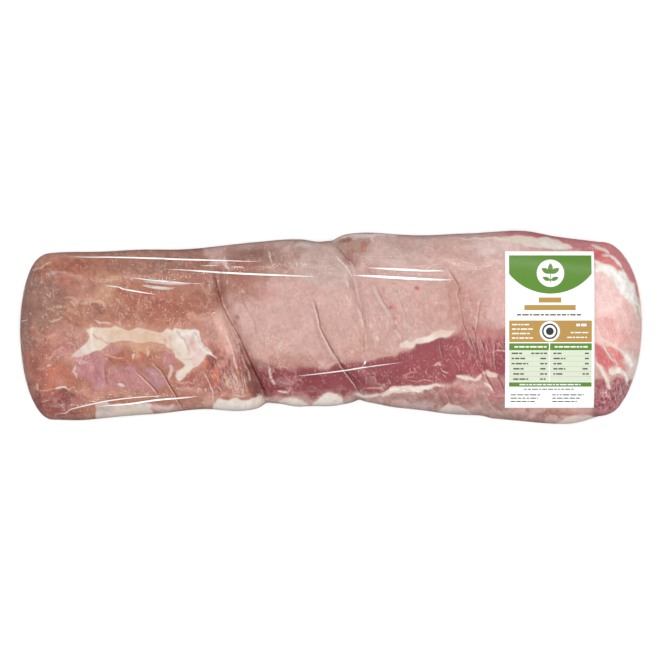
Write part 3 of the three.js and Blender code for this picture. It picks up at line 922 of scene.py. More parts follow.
LATE_STROKES = [
    ("brown_rose", -68, 62, 24, 11, 0.85), ("dark_mauve", -69, 65, 10, 4, 0.5),
    ("rose_brown", -74, 48, 16, 8, 0.5), ("grey_pearl", -8, 53, 18, 11, 0.7),
    ("rose_tan", -237, -47, 5, 4, 0.5), ("strip_west", -30, -50, 30, 13, 0.8),
    ("rose_crimson", -36, -47, 7, 9, 0.35), ("strip_west", 14, -46, 12, 12, 0.4),
    ("strip_east", 86, -36, 20, 14, 0.7), ("strip_label", 130, -24, 26, 24, 0.85),
    ("salmon", 145, -8, 6, 6, 0.4), ("strip_middle", 150, -30, 7, 14, 0.7),
    ("rose_crimson", 146, -56, 9, 9, 0.75), ("rose_crimson", 106, -58, 12, 5, 0.5),
    ("rose_crimson", 84, -49, 12, 3, 0.5), ("dark_mauve", 150, -68, 7, 5, 0.4),
    ("pearl", 136, 68, 16, 6, 0.8), ("rose_brown", -78, 46, 17, 13, 0.75),
    # Strokes of crease_side_light are the pale membrane beside the creases, painted lighter still: partly
    # painted light against the shade of the creases' relief.
    ("brown_rose", -42, 58, 13, 7, 0.55), ("crease_side_light", -93, 0, 8, 16, 0.8, 18),
    ("crease_side_light", -86, -20, 5, 12, 0.6, 18), ("crease_side_light", -106, -64, 8, 5, 0.6),
    ("rose", -107, -58, 8, 5, 0.6), ("fat_pink", -148, -70, 14, 3, 0.6),
    ("corner_purple", 247, -62, 22, 16, 0.9, -15), ("fat_white", 264, -32, 7, 10, 0.7, 20),
    ("eye", 268, -8, 6, 16, 0.5), ("tan", -158, -17, 20, 4.5, 0.6), ("mauve", -142, -28, 5, 7, 0.7),
    ("rose_crimson", -125, -46, 14, 6, 0.45), ("dusky_red", -104, -27, 5, 8, 0.85, -20),
    ("bright_orange", -109, -33, 2.5, 4, 0.7), ("bright_orange", -99, -44, 2.6, 5, 0.8),
    ("mauve", -192, -20, 8, 4, 0.6), ("pearl", 154, 77, 14, 4, 0.8), ("rose", 134, -5, 22, 5, 0.8),
    ("rose_brown", -86, 42, 9, 13, 0.7), ("fat_lilac", 75, -69, 12, 4, 0.7),
    ("dusky_red", -255, -46, 7, 9, 0.45), ("rose_crimson", -40, -60, 14, 2.5, 0.6),
    ("low_mauve", -60, -34, 9, 5, 0.7, -35), ("dark_brick", -67, -43.5, 3.4, 6, 0.6, 22),
    ("orange", 260, -37, 3.5, 3, 0.6), ("rim_red", 227, 64, 8, 2.4, 0.8, -14),
    ("rim_red", 236, 64.5, 3, 4, 0.7), ("rim_red", 144, 80, 8, 1.8, 0.7),
    ("rim_red", 190, 79, 18, 2.4, 0.7, -8), ("purple", 246, -60, 4, 8, 0.4, 12),
    ("purple", 256, -54, 3, 5, 0.4, 12), ("purple", 236, -68, 5, 5, 0.4),
    ("dark_red", 235, -79, 10, 2.5, 0.5, -14), ("rim_red", 52.6, 17.2, 1.4, 1.3, 0.9),
    ("rim_red", 75.7, 33.6, 1.5, 1.3, 0.95), ("orange", 29, 70, 3, 5, 0.7),
    ("dusky_red", 12.5, 77, 5, 2, 0.9), ("low_mauve", 17, 62, 5, 6, 0.7, -45),
    ("rose_crimson", -80.5, -30, 3, 7, 0.6, 15), ("eye_light", 146, 72, 24, 7, 0.6),
    ("wedge_brown", -80, 51, 14, 9, 0.4), ("rose_brown", -42, 49, 12, 8, 0.45),
    ("dark_brick", -245, 48, 9, 6, 0.5), ("dusky_red", -228, -80, 11, 6, 0.6),
    ("eye_light", 265, -37, 8, 9, 0.5), ("rose", -73, -26, 3.5, 7, 0.5, 20),
    ("strip_west", 38, -47, 14, 7, 0.5),
]
print(len(PATCHES), "patches of lean")

# %% Colours of the fat: soft strokes, and marks of a width along a route
FAT_STROKES = [
    ("cream", -196, -8, 30, 14, 0.7), ("yellow_fat", -165, -8, 26, 9, 0.9),
    ("fat_pink", -124, -22, 9, 10, 0.5, -60), ("fat_grey", -170, -70, 50, 6, 0.7),
    ("fat_bright", 256, 38, 26, 24, 1), ("warm_white", 160, 71, 9, 3, 0.8, -8),
    ("fat_lilac", 110, -75, 18, 6, 0.9), ("warm_white", 92, -3, 14, 5, 0.5),
    ("fat_bright", 261, -34, 12, 16, 0.8), ("fat_pink", 216, -80, 14, 5, 0.9),
    ("warm_white", 138, -42, 8, 4, 0.6), ("fat_lilac", -224, -25, 8, 6, 0.8),
    ("grey_pink", -206, -74, 13, 10, 0.5),
]
FAT_MARKS = [
    ("orange_tan", 1.6, 0.8, [(-207, -7), (-203, -11), (-199, -13), (-193, -14)]),
    ("tan", 2.4, 0.5, [(-192, -5), (-186, -5)]), ("rose", 2.4, 0.7, [(-145, -11), (-145, -16)]),
    ("rose", 3, 0.35, [(-121, -5), (-123, -15), (-120, -20)]),
    ("salmon", 6, 0.35, [(-124, -10), (-116, -22), (-118, -32)]),
    ("rose", 3, 0.45, [(-141, -9), (-139, -22)]),
    ("grey_tan", 1.5, 0.5, [(-134, -5), (-126, -15), (-124, -24)]),
    ("grey_tan", 1.5, 0.5, [(-118, -4), (-115, -14), (-108, -20)]),
    ("grey_tan", 3, 0.4, [(-137, -19), (-133, -25)]), ("tan", 1.4, 0.6, [(-128, -28), (-122, -28)]),
    ("fat_white", 2.6, 0.9, [(-209, -2), (-209, -21)]), ("orange_tan", 1.4, 0.5, [(270, 18), (272, 10)]),
]
print(len(FAT_STROKES), "strokes and", len(FAT_MARKS), "marks on the fat")

# %% Paint the lean, the membrane and the fat, then painted shade and light over them
PAINTED_LOW_SHADE = 0.38  # how much darker the meat is low on the sides
PAINTED_END_LIGHT = 0.14  # how much brighter towards both ends
PAINTED_ROUND_LIGHT = 0.22  # and once more low on the round end
WHITEST_FAT = 0.8
CREASE_END = CREASES["main"][2][0]  # the far end of the crease that the membrane ends at
BORDER_SLANT = 0.4  # past it the membrane's border is carried on, slanting


def lay(paint, colour, weight):
    """Lays a named colour over what is painted, as thick as its weight at each point."""
    weight = np.clip(weight, 0, 1)[:, None]
    paint[:] = paint * (1 - weight) + np.array(PALETTE[colour]) * weight


def stroke_weight(place, x, y, length, width, strength, turn=0.0):
    """A soft ellipse: full strength in the middle, half of it on its outline, none at 1.5 times that."""
    c, s = math.cos(math.radians(turn)), math.sin(math.radians(turn))
    dx, dy = place[:, 0] - x, place[:, 1] - y
    reach = np.hypot((dx * c + dy * s) / length, (dy * c - dx * s) / width)
    return strength * (1 - smooth(reach, 0.5, 1.5))


def paint_strokes(paint, strokes, place):
    """Lays soft strokes of colour, one over another."""
    for colour, *stroke in strokes:
        lay(paint, colour, stroke_weight(place, *stroke))


loose = warped(sheet, 20, 1.3)
firm = warped(sheet, 40, 0.25)
tone = np.tile(np.array(PALETTE["membrane"]), (len(sheet), 1))
crease_gap, crease_side_light, _, _ = beside_route(loose, CREASES["main"][2])
bare = crease_side_light < 0  # the blunt end, where no membrane covers the lean
beyond = np.maximum(loose[:, 1] - CREASE_END[1], 0)
border_x = CREASE_END[0] - BORDER_SLANT * beyond + 0.1 * beyond * ripples(sheet, 30, 73)
over_side = smooth(border_x - loose[:, 0], -4, 8)
lay(tone, "terracotta", np.where(beyond > 0, over_side, smooth(crease_gap, -2, 6) * bare))
paint_strokes(tone, STROKES, loose)
lay(tone, "dusky_red", 0.3 * smooth(ripples(loose, 17, 71), 0.2, 1.4) * bare)
pearly = (crease_side_light > 0) * (sheet[:, 0] < 150)
lay(tone, "pearl", 0.3 * smooth(ripples(loose, 19, 72), 0.2, 1.4) * pearly)
beside_fat = smooth(fat, -7, -0.5) * (sheet[:, 0] < -95) * (sheet[:, 1] > -40)
lay(tone, "peach", 0.45 * beside_fat)
for colour, softness, strength, outline in PATCHES:
    lay(tone, colour, strength * smooth(inside_by(firm, outline), -softness, softness))
paint_strokes(tone, LATE_STROKES, firm)
fat_tone = np.tile(np.array(PALETTE["fat_white"]), (len(sheet), 1))
paint_strokes(fat_tone, FAT_STROKES, firm)
for colour, width, strength, route in FAT_MARKS:
    gap, _, _, _ = beside_route(firm, route)
    lay(fat_tone, colour, strength * (1 - smooth(gap, 0.3 * width, 0.8 * width)))
lay(fat_tone, "cream", 0.4 * smooth(ripples(sheet, 60, 63), -0.3, 0.9))
lay(fat_tone, "fat_pink", 0.5 * smooth(ripples(sheet, 21, 64), 0.2, 1.2))
# Painted shade low on the sides, painted light towards both ends and low on the round end; the fat takes
# part of it.
at_end = smooth(np.abs(sheet[:, 0]), 222, 250)
painted_light_and_shade = 1 - PAINTED_LOW_SHADE * (1 - smooth(height, 26, 50)) * (1 - 0.9 * at_end)
painted_light_and_shade *= 1 + PAINTED_END_LIGHT * at_end
painted_light_and_shade *= 1 + PAINTED_ROUND_LIGHT * smooth(sheet[:, 0], 225, 262) * (1 - smooth(height, 30, 62))
tone *= painted_light_and_shade[:, None]
fat_tone = np.minimum(fat_tone * (0.35 + 0.65 * painted_light_and_shade)[:, None], WHITEST_FAT)
print("Painted", len(tone), "points")

# %% [markdown]
# ## Pleats and wisps
#
# The finest lines on the loin are of two kinds. Pleats are what the shrinking film pressed in: a
# whitish lip, a painted highlight, on one side and a thin painted shadow on the other. Wisps are flecks
# and streaks of pale tissue that were left on the lean. Both are kept as a distance to the nearest one,
# with a sign for the side, so that the shader can draw lines that are thinner than the mesh.

# %% Pleats: how dark the painted shadow, how pale the lip's painted highlight, and the route
# from the far side to the near one
PLEATS = [
    (1, 0, [(-101, 47), (-100, 38), (-94, 18), (-75, -20), (-69, -37), (-57, -60), (-55, -67)]),
    (0.8, 0.9, [(-171, -37), (-152, -57), (-150, -62)]),
    (0.9, 0.7, [(-155, -31), (-148, -39), (-136, -60), (-134, -65), (-129, -72)]),
    (0.3, 0.8, [(-112, -36), (-108, -42), (-103, -55), (-102, -60), (-102, -68)]),
    (0.5, 0, [(-51, -39), (-48, -54)]), (0.3, 0.1, [(-80, 25), (-75, 18), (-67, 4), (-65, -10)]),
    (0.7, 0, [(2, 75), (13, 62), (22, 54)]),
    (0.3, 0.2, [(18, 39), (19, 34), (29, 4), (28, -21), (31, -28)]),
    (0.3, 0.3, [(39, 37), (44, 25), (53, 10)]), (0.2, 0.3, [(56, 33), (65, 10), (66, -3), (70, -12)]),
    (0.8, 0.7, [(-16, 26), (-12, 13), (-10, 1), (-5, -10), (1, -21), (26, -61)]),
    (0.7, 0.1, [(14, -39), (24, -53)]), (0.6, 0.1, [(20, -40), (26, -50)]),
    (0.4, 0.4, [(3, -20), (7, -27), (11, -29), (15, -36)]),
    (0.5, 0.3, [(100, 56), (112, 35), (111, 29), (116, 2), (122, -13), (126, -20)]),
    (0.3, 0.6, [(133, 28), (130, 21), (127, -2), (127, -11)]),
    (0.7, 0.5, [(121, 3), (126, -5), (127, -15)]), (0.7, 0.5, [(131, -8), (135, -23)]),
    (0.7, 0.3, [(144, -9), (143, -18), (143, -33), (145, -41)]), (0.9, 0.3, [(132, -34), (143, -59)]),
    (1, 0.2, [(143, -38), (153, -59)]), (0.6, 0.1, [(98, -51), (106, -68)]),
    (0.5, 0.3, [(136, -59), (140, -67), (147, -75)]), (0.5, 0.3, [(140, -62), (145, -70), (153, -78)]),
    (0.4, 0.3, [(95, -11), (96, -21), (99, -31)]), (0.6, 0, [(-243, -61), (-236, -69)]),
    (0.6, 0, [(-196, -29), (-198, -35), (-196, -54)]), (0.8, 0.5, [(238, -15), (250, -33)]),
    (0.7, 0.5, [(243, -46), (250, -63)]), (0.6, 0.5, [(248, -45), (254, -62)]),
    (0.6, 0.4, [(253, -46), (258, -61)]), (0.6, 0.4, [(236, -49), (238, -60), (241, -69)]),
    (0.5, 0.3, [(233, -54), (237, -65)]), (0.5, 0.5, [(243, -54), (247, -71)]),
]
PLEAT_FADE = 9.0
FAR_OFF = 30.0


def nearest_of(place, routes):
    """Distance to the nearest route, signed for its side, the route's number and the way to its end."""
    signed = np.full(len(place), FAR_OFF)
    number = np.zeros(len(place), int)
    to_end = np.zeros(len(place))
    for i, route in enumerate(routes):
        gap, side, along, left = beside_route(place, route)
        closer = gap < np.abs(signed)
        signed = np.where(closer, np.where(side < 0, -gap, gap), signed)
        number = np.where(closer, i, number)
        to_end = np.where(closer, np.minimum(along, left), to_end)
    return signed, number, to_end


pleat, number, to_end = nearest_of(warped(sheet, 50, 0.10), [route for _, _, route in PLEATS])
above_foot = smooth(height, 3, 12)  # nothing of what is drawn on top shows underneath
strength = np.clip(to_end / PLEAT_FADE, 0, 1) ** 0.7 * above_foot
pleat_dark = np.array([dark for dark, _, _ in PLEATS])[number] * strength
pleat_lip = np.array([lip_highlight for _, lip_highlight, _ in PLEATS])[number] * strength
print(len(PLEATS), "pleats;", int((np.abs(pleat) < 1.5).sum()), "points on them")

# %% Wisps: colour, width, strength and route
WISPS = [
    ("cream", 1.6, 0.6, [(-264, 51), (-260, 53), (-256, 53), (-251, 57), (-246, 59)]),
    ("cream", 2, 0.35, [(-234, 26), (-229, 27), (-225, 26), (-220, 21)]),
    ("cream", 1.5, 0.5, [(-229, 24), (-224, 18)]),
    ("cream", 2.8, 0.3, [(-220, 21), (-211, 22), (-209, 27)]),
    ("cream", 2.6, 0.3, [(-209, 23), (-203, 23), (-199, 22), (-196, 16)]),
    ("cream", 2.4, 0.5, [(-241, 18), (-235, 19)]),
    ("peach", 1.4, 0.7, [(-248, 16), (-245, 17), (-242, 14)]),
    ("cream", 2, 0.5, [(-246, 5), (-241, 6), (-237, 9)]),
    ("fat_white", 1.6, 0.8, [(-249, 30), (-247, 27)]), ("fat_pink", 1.3, 0.6, [(-266, 13), (-264, 11)]),
    ("fat_pink", 2, 0.6, [(-206, 6), (-202, 3), (-198, 4), (-193, 2)]),
    ("peach", 1.5, 0.7, [(-247, -29), (-241, -21), (-233, -17)]),
    ("peach", 1.2, 0.5, [(-230, -17), (-228, -14), (-225, -13), (-225, -17)]),
    ("fat_pink", 2.2, 0.6, [(-249, -35), (-248, -33), (-245, -34)]),
    ("pearl", 1.2, 0.5, [(-259, -38), (-250, -37)]),
    ("peach", 1, 0.6, [(-238, -25), (-233, -23), (-227, -23)]),
    ("peach", 1.5, 0.8, [(-258, -56), (-243, -55)]),
    ("fat_white", 2, 0.7, [(-243, -55), (-233, -53), (-231, -55)]),
    ("peach", 1.5, 0.8, [(-231, -55), (-224, -52)]), ("fat_pink", 2.8, 0.5, [(-260, -49), (-258, -57)]),
    ("fat_pink", 2.2, 0.6, [(-223, -33), (-226, -39), (-223, -46)]),
    ("fat_pink", 1, 0.6, [(-221, -33), (-217, -25)]), ("fat_pink", 1, 0.5, [(-220, -34), (-211, -29)]),
    ("peach", 1.6, 0.7, [(-199, -23), (-188, -27), (-183, -27)]),
    ("peach", 1.6, 0.8, [(-224, -55), (-221, -60)]),
    ("peach", 1.2, 0.6, [(-221, -56), (-218, -56), (-216, -54)]),
    ("rose", 2.2, 0.7, [(-215, -57), (-208, -62), (-204, -63)]),
    ("peach", 1, 0.6, [(-255, -66), (-244, -62)]), ("lilac", 1.4, 0.8, [(-203, -54), (-199, -42)]),
    ("fat_pink", 1.8, 0.8, [(-172, -21), (-174, -28)]), ("cream", 1.8, 0.7, [(-159, -20), (-160, -26)]),
    ("peach", 1.8, 0.8, [(-154, -23), (-153, -26), (-151, -26)]),
    ("fat_pink", 2, 0.7, [(-145, -27), (-146, -30)]),
    ("fat_pink", 2.6, 0.6, [(-141, -33), (-139, -36), (-142, -46)]),
    ("peach", 1.8, 0.7, [(-136, -47), (-131, -49), (-120, -49)]),
    ("fat_pink", 2.2, 0.5, [(-187, -50), (-182, -52)]),
    ("lilac", 3.4, 0.7, [(-181, -37), (-176, -36), (-171, -38)]),
    ("fat_pink", 3, 0.5, [(-153, -68), (-145, -70), (-137, -68)]),
    ("fat_pink", 1.8, 0.6, [(-93, -3), (-82, -37)]),
    ("fat_pink", 1.4, 0.6, [(-89, 3), (-77, -27), (-71, -48)]),
    ("cream", 2, 0.7, [(-86, -41), (-83, -45), (-82, -49)]),
    ("cream", 1.5, 0.7, [(-94, -41), (-90, -54)]), ("fat_pink", 1.2, 0.7, [(-99, -52), (-96, -55)]),
    ("fat_pink", 1.6, 0.8, [(-54, -34), (-54, -41), (-50, -52)]),
    ("fat_white", 1.6, 0.8, [(-48, -58), (-44, -59), (-39, -59)]),
    ("peach", 1.2, 0.7, [(-49, -36), (-44, -35), (-39, -37)]),
    ("peach", 1.6, 0.6, [(-59, -21), (-57, -26)]),
    ("fat_white", 2.4, 0.4, [(-93, 63), (-92, 55), (-89, 50)]),
    ("fat_grey", 1.6, 0.5, [(-91, 44), (-90, 38)]), ("fat_pink", 1.5, 0.8, [(-55, 66), (-52, 56)]),
    ("fat_grey", 3, 0.5, [(-32, 71), (-25, 72), (-17, 71)]),
    ("fat_white", 2.2, 0.7, [(-103, 12), (-101, 14)]), ("fat_pink", 1.8, 0.6, [(-97, 13), (-96, 8)]),
    ("peach", 1.8, 0.5, [(-48, 10), (-46, 12), (-42, 9)]),
    ("fat_grey", 2.6, 0.6, [(19, 78), (24, 80), (32, 80)]),
    ("fat_pink", 2.4, 0.7, [(35, 81), (35, 78), (37, 75)]),
    ("fat_white", 1.3, 0.85, [(5, 62), (13, 53), (18, 45)]),
    ("fat_pink", 1.2, 0.7, [(17, 55), (21, 50), (21, 47)]), ("fat_pink", 2.4, 0.6, [(13, 42), (15, 36)]),
    ("fat_pink", 1.6, 0.6, [(13, 28), (17, 21)]), ("fat_pink", 1.6, 0.6, [(23, 18), (27, 2)]),
    ("fat_grey", 2.4, 0.5, [(37, 37), (41, 26), (54, 2)]),
    ("fat_grey", 1.8, 0.4, [(-8, -7), (-4, -14), (1, -26)]), ("peach", 1.4, 0.7, [(9, -26), (15, -35)]),
    ("fat_pink", 1.6, 0.7, [(55, -2), (61, -11)]), ("fat_grey", 1.8, 0.45, [(66, 3), (71, -13)]),
    ("cream", 3, 0.9, [(40, -7), (41, -12)]),
    ("peach", 1.6, 0.8, [(33, -29), (42, -25), (53, -24), (59, -21), (62, -18)]),
    ("rose", 1.6, 0.8, [(62, -44), (70, -40), (76, -39)]), ("rose", 1.4, 0.7, [(65, -45), (76, -49)]),
    ("peach", 1.6, 0.8, [(29, -55), (36, -54), (42, -55), (47, -57)]),
    ("fat_pink", 2.6, 0.6, [(90, -34), (95, -32), (96, -35)]),
    ("fat_pink", 1.2, 0.6, [(140, -22), (146, -20), (154, -20)]),
    ("rose", 1.6, 0.7, [(114, -2), (122, -18)]), ("rose", 1.6, 0.7, [(127, -2), (133, -18)]),
    ("rose", 1.6, 0.7, [(142, -3), (141, -20), (143, -30)]),
    ("peach", 2, 0.7, [(111, -54), (115, -52), (118, -57)]),
    ("peach", 1.4, 0.5, [(123, -70), (131, -65)]), ("fat_pink", 1.1, 0.5, [(-91, -44), (-85, -62)]),
    ("fat_pink", 1.1, 0.5, [(-88, -44), (-82, -62)]), ("fat_pink", 1.1, 0.5, [(-86, -46), (-80, -62)]),
    ("fat_pink", 1.1, 0.5, [(-83, -46), (-77, -62)]), ("fat_pink", 1.1, 0.5, [(-80, -48), (-75, -61)]),
]
WISP_TAPER = 2.5

wisp, number, to_end = nearest_of(warped(sheet, 50, 0.15), [route for _, _, _, route in WISPS])
wisp_half = np.array([width / 2 for _, width, _, _ in WISPS])[number]
wisp_half *= np.clip(to_end / WISP_TAPER, 0, 1) ** 0.5
wisp_strength = np.array([strength for _, _, strength, _ in WISPS])[number] * above_foot
wisp_tone = np.array([PALETTE[colour] for colour, _, _, _ in WISPS])[number]
print(len(WISPS), "wisps")

# %% Where specks, fibres and crumpled skin show: middle, half length and width, share, and turn
SPECKLED = [
    (-152, 53, 34, 7, 1), (-250, -20, 14, 11, 1), (-165, 20, 30, 16, 0.6), (-130, 10, 20, 12, 0.7),
    (-255, 10, 14, 24, 0.35), (222, 70, 34, 7, 1, -14), (268, 34, 7, 26, 0.8, 25),
    (-235, -60, 22, 9, 0.4), (60, 20, 60, 30, 0.3), (-20, 60, 40, 12, 0.5), (240, 10, 22, 30, 0.35),
]
FIBROUS = [
    (-95, -38, 22, 26, 1), (126, -30, 22, 26, 0.9), (40, -44, 60, 13, 0.22),
    (244, -54, 22, 16, 1, -20), (248, -12, 16, 18, 0.8, -30), (-190, -42, 40, 12, 0.5),
    (60, 5, 60, 26, 0.45), (238, 66, 22, 8, 0.5, -20),
]
MEMBRANE_BLOTCHES, BARE_BLOTCHES = 0.42, 0.60  # how blotchy the membrane and the bare lean are
CRUMPLED = [
    (248, -60, 19, 17, 1, -20), (130, -20, 20, 18, 0.35), (100, -62, 50, 9, 0.22),
    (-95, -40, 16, 20, 0.35),
]


def share_in(areas, place, elsewhere):
    """The share of something at every place: that of the soft areas, and a lower one elsewhere."""
    shares = [stroke_weight(place, *area) for area in areas]
    return np.maximum(np.max(shares, axis=0), elsewhere)


speckle = share_in(SPECKLED, loose, elsewhere=0.22)
speckle = np.maximum(speckle, 0.5 * smooth(inside_by(firm, LEAN_STRIP), -2, 4))
fibrous = share_in(FIBROUS, loose, elsewhere=0.12)
blotchy = np.maximum(MEMBRANE_BLOTCHES, BARE_BLOTCHES * smooth(crease_gap, 0, 10) * bare)
crumpled = share_in(CRUMPLED, loose, elsewhere=0.0) * above_foot


def store_colour(piece, name, colour):
    """Keeps a colour for every point of a mesh."""
    layer = piece.data.attributes.new(name, "FLOAT_COLOR", "POINT")
    rgba = np.column_stack([colour, np.ones(len(colour))])
    layer.data.foreach_set("color", rgba.astype(np.float32).ravel())


def store_number(piece, name, values):
    """Keeps a number for every point of a mesh."""
    layer = piece.data.attributes.new(name, "FLOAT", "POINT")
    layer.data.foreach_set("value", np.asarray(values, np.float32))


store_colour(meat, "tone", tone)
store_colour(meat, "fat_tone", fat_tone)
store_colour(meat, "wisp_tone", wisp_tone)
TISSUE = {
    "fat": fat, "pleat": pleat, "pleat_dark": pleat_dark, "pleat_lip": pleat_lip, "wisp": wisp,
    "wisp_half": wisp_half, "wisp_strength": wisp_strength, "speckle": speckle, "fibrous": fibrous,
    "blotchy": blotchy, "crumpled": crumpled,
}
for name, values in TISSUE.items():
    store_number(meat, name, values)
print("The meat's points know their colour and tissue")

# %% [markdown]
# ## Finish of the meat
#
# The shader adds what is finer than the points. On the lean these are mottling in two sizes, fibres
# along the muscle, pale flecks, a lace of thin white tissue where a random field crosses its middle
# value, painted shade in the hollows and painted highlight on the crests where the skin is crumpled,
# and tiny specks. The fat gets a ragged edge with a pinkish border, a few hair-fine veins, and hair-fine
# wrinkles that are painted shade. The wisps, and the pleats' painted highlight lips and painted
# shadows, lie over both.

# %% Meat
meat_finish, tree, output = new_finish("raw_pork")
spot = own_place(tree)
LEAN_TURN = 0.32  # the fibres run like the creases
HAIR = 0.022  # how far from its middle value a field still draws a hairline


def hairline(tree, field, width):
    """1 where a random field crosses its middle value, falling to 0 within the width."""
    off = maths(tree, "ABSOLUTE", maths(tree, "SUBTRACT", field, 0.5))
    return beside(tree, ramp(tree, off, 0.0, width))


def dots(tree, place_socket, size, reach, share):
    """1 in small dots, one in each cell of the given size that a share of the cells has."""
    cells = put(tree, "ShaderNodeTexVoronoi", {"Vector": place_socket, "Scale": 1 / (size * MM)})
    dot = beside(tree, ramp(tree, cells.outputs["Distance"], 0.4 * reach, reach))
    lot = made(tree, "ShaderNodeSeparateColor", {0: cells.outputs["Color"]})
    return times(tree, dot, maths(tree, "LESS_THAN", lot, share))


def mottled(tree, colour, field, low, high, dark, bright):
    """A colour made darker where a random field is below low, and brighter where it is above high."""
    shade = blend(tree, ramp(tree, field, low, high), (*dark, 1), (*bright, 1))
    return tinted(tree, colour, shade)


def over(tree, colour, share, strength, top):
    """A colour with another over it, where a share is above 0."""
    return blend(tree, times(tree, share, strength), colour, (*top, 1))


mottle = grain(tree, spot, 10.0, detail=5.0, roughness=0.6)
small_mottle = grain(tree, spot, 3.0, detail=4.0, roughness=0.6)
fibre = grain(tree, spot, 1.3, stretch=(1, 0.12, 1), turn=LEAN_TURN, detail=3.0)
coarse_fibre = grain(tree, spot, 3.4, stretch=(1, 0.16, 1), turn=LEAN_TURN, detail=3.0)
fibrous_socket = known(tree, "fibrous")
colour = known(tree, "tone", "Color")
blotched = mottled(tree, colour, mottle, 0.3, 0.7, (0.84, 0.79, 0.77), (1.12, 1.14, 1.15))
colour = blend(tree, known(tree, "blotchy"), colour, blotched)
colour = mottled(tree, colour, small_mottle, 0.3, 0.7, (0.93, 0.90, 0.89), (1.05, 1.06, 1.06))
streaked = mottled(tree, colour, fibre, 0.38, 0.66, (0.86, 0.80, 0.80), (1.10, 1.13, 1.13))
colour = blend(tree, fibrous_socket, colour, streaked)
white_fibre = times(tree, ramp(tree, coarse_fibre, 0.60, 0.74), fibrous_socket)
colour = over(tree, colour, white_fibre, 0.28, (0.62, 0.50, 0.46))
fleck_field = grain(tree, spot, 2.0, stretch=(1, 0.5, 1), turn=LEAN_TURN, detail=2.0)
fleck_patch = ramp(tree, grain(tree, spot, 14.0, detail=2.0), 0.42, 0.62)
flecks = times(tree, ramp(tree, fleck_field, 0.58, 0.70), fleck_patch)
colour = over(tree, colour, flecks, 0.38, (0.62, 0.42, 0.36))
lace_field = grain(tree, spot, 8.0, stretch=(1, 0.6, 1), turn=LEAN_TURN, detail=4.0)
lace_patch = ramp(tree, grain(tree, spot, 26.0, detail=2.0), 0.48, 0.66)
lace = times(tree, hairline(tree, lace_field, HAIR), lace_patch)
colour = over(tree, colour, lace, 0.35, (0.62, 0.50, 0.45))
# Painted shade in the hollows of crumpled skin and painted highlight on its crests, beside its real bumps.
crumpled_socket = known(tree, "crumpled")
crumple = grain(tree, spot, 2.4, stretch=(1, 0.26, 1), turn=0.2, detail=1.5)
hollow_shade = times(tree, beside(tree, ramp(tree, crumple, 0.34, 0.50)), crumpled_socket)
colour = blend(tree, hollow_shade, colour, tinted(tree, colour, (0.62, 0.45, 0.47, 1)))
crest_highlight = times(tree, ramp(tree, crumple, 0.54, 0.64), crumpled_socket)
colour = over(tree, colour, crest_highlight, 0.55, (0.60, 0.36, 0.37))
speckle_socket = known(tree, "speckle")
specks = times(tree, dots(tree, spot, 2.6, 0.26, 0.45), speckle_socket)
colour = over(tree, colour, specks, 0.75, (0.66, 0.52, 0.47))
lean_colour = over(tree, colour, dots(tree, spot, 4.2, 0.26, 0.12), 0.35, (0.16, 0.06, 0.05))
print("The lean's colour takes", len(tree.nodes), "nodes")

# %% Fat over the lean, and the wisps and pleats over both
# A pleat's pale lip is a painted highlight, and its dark line a painted shadow.
LIP_HIGHLIGHT = (-2.0, -1.1, -0.9, -0.2)  # mm beside a pleat's line where its pale lip starts, is full, fades, ends
SHADOW = (-0.8, -0.1, 0.2, 1.7)  # and where its shadow does


def band(tree, value, start, full, fade, end):
    """1 from full to fade, and 0 before start and after end."""
    rise, fall = ramp(tree, value, start, full), ramp(tree, value, fade, end)
    return times(tree, rise, beside(tree, fall))


ragged = grain(tree, spot, 3.4, detail=3.0, roughness=0.5)
reach = maths(tree, "ADD", known(tree, "fat"), maths(tree, "MULTIPLY_ADD", ragged, 2.0, -1.0))
fat_share = ramp(tree, reach, -0.9, 1.0)
fat_mottle = grain(tree, spot, 5.0, detail=5.0)
fat_colour = known(tree, "fat_tone", "Color")
fat_colour = mottled(tree, fat_colour, fat_mottle, 0.3, 0.7, (0.94, 0.91, 0.89), (1.04, 1.04, 1.04))
border = beside(tree, ramp(tree, reach, 0.2, 2.2))
fat_colour = over(tree, fat_colour, border, 0.35, (0.52, 0.38, 0.34))
vein = hairline(tree, grain(tree, spot, 17.0, stretch=(0.7, 1, 1), detail=3.0), 0.010)
vein = times(tree, vein, ramp(tree, grain(tree, spot, 30.0, detail=1.0), 0.52, 0.62))
fat_colour = over(tree, fat_colour, vein, 0.35, (0.36, 0.13, 0.11))
# Hair-fine wrinkles of the fat, drawn as painted shade.
fat_wrinkle_shade = hairline(tree, grain(tree, spot, 8.0, stretch=(1, 0.6, 1), turn=0.8, detail=3.0), HAIR)
fat_colour = over(tree, fat_colour, fat_wrinkle_shade, 0.34, (0.46, 0.36, 0.31))
colour = blend(tree, fat_share, lean_colour, fat_colour)
wisp_gap = maths(tree, "ABSOLUTE", known(tree, "wisp"))
wisp_in = maths(tree, "SUBTRACT", known(tree, "wisp_half"), wisp_gap)
flecked = grain(tree, spot, 1.8, detail=3.0, roughness=0.6)
wisp_in = maths(tree, "ADD", wisp_in, maths(tree, "MULTIPLY_ADD", flecked, 4.0, -2.1))
wisp_share = times(tree, ramp(tree, wisp_in, -0.45, 0.40), known(tree, "wisp_strength"))
colour = blend(tree, wisp_share, colour, known(tree, "wisp_tone", "Color"))
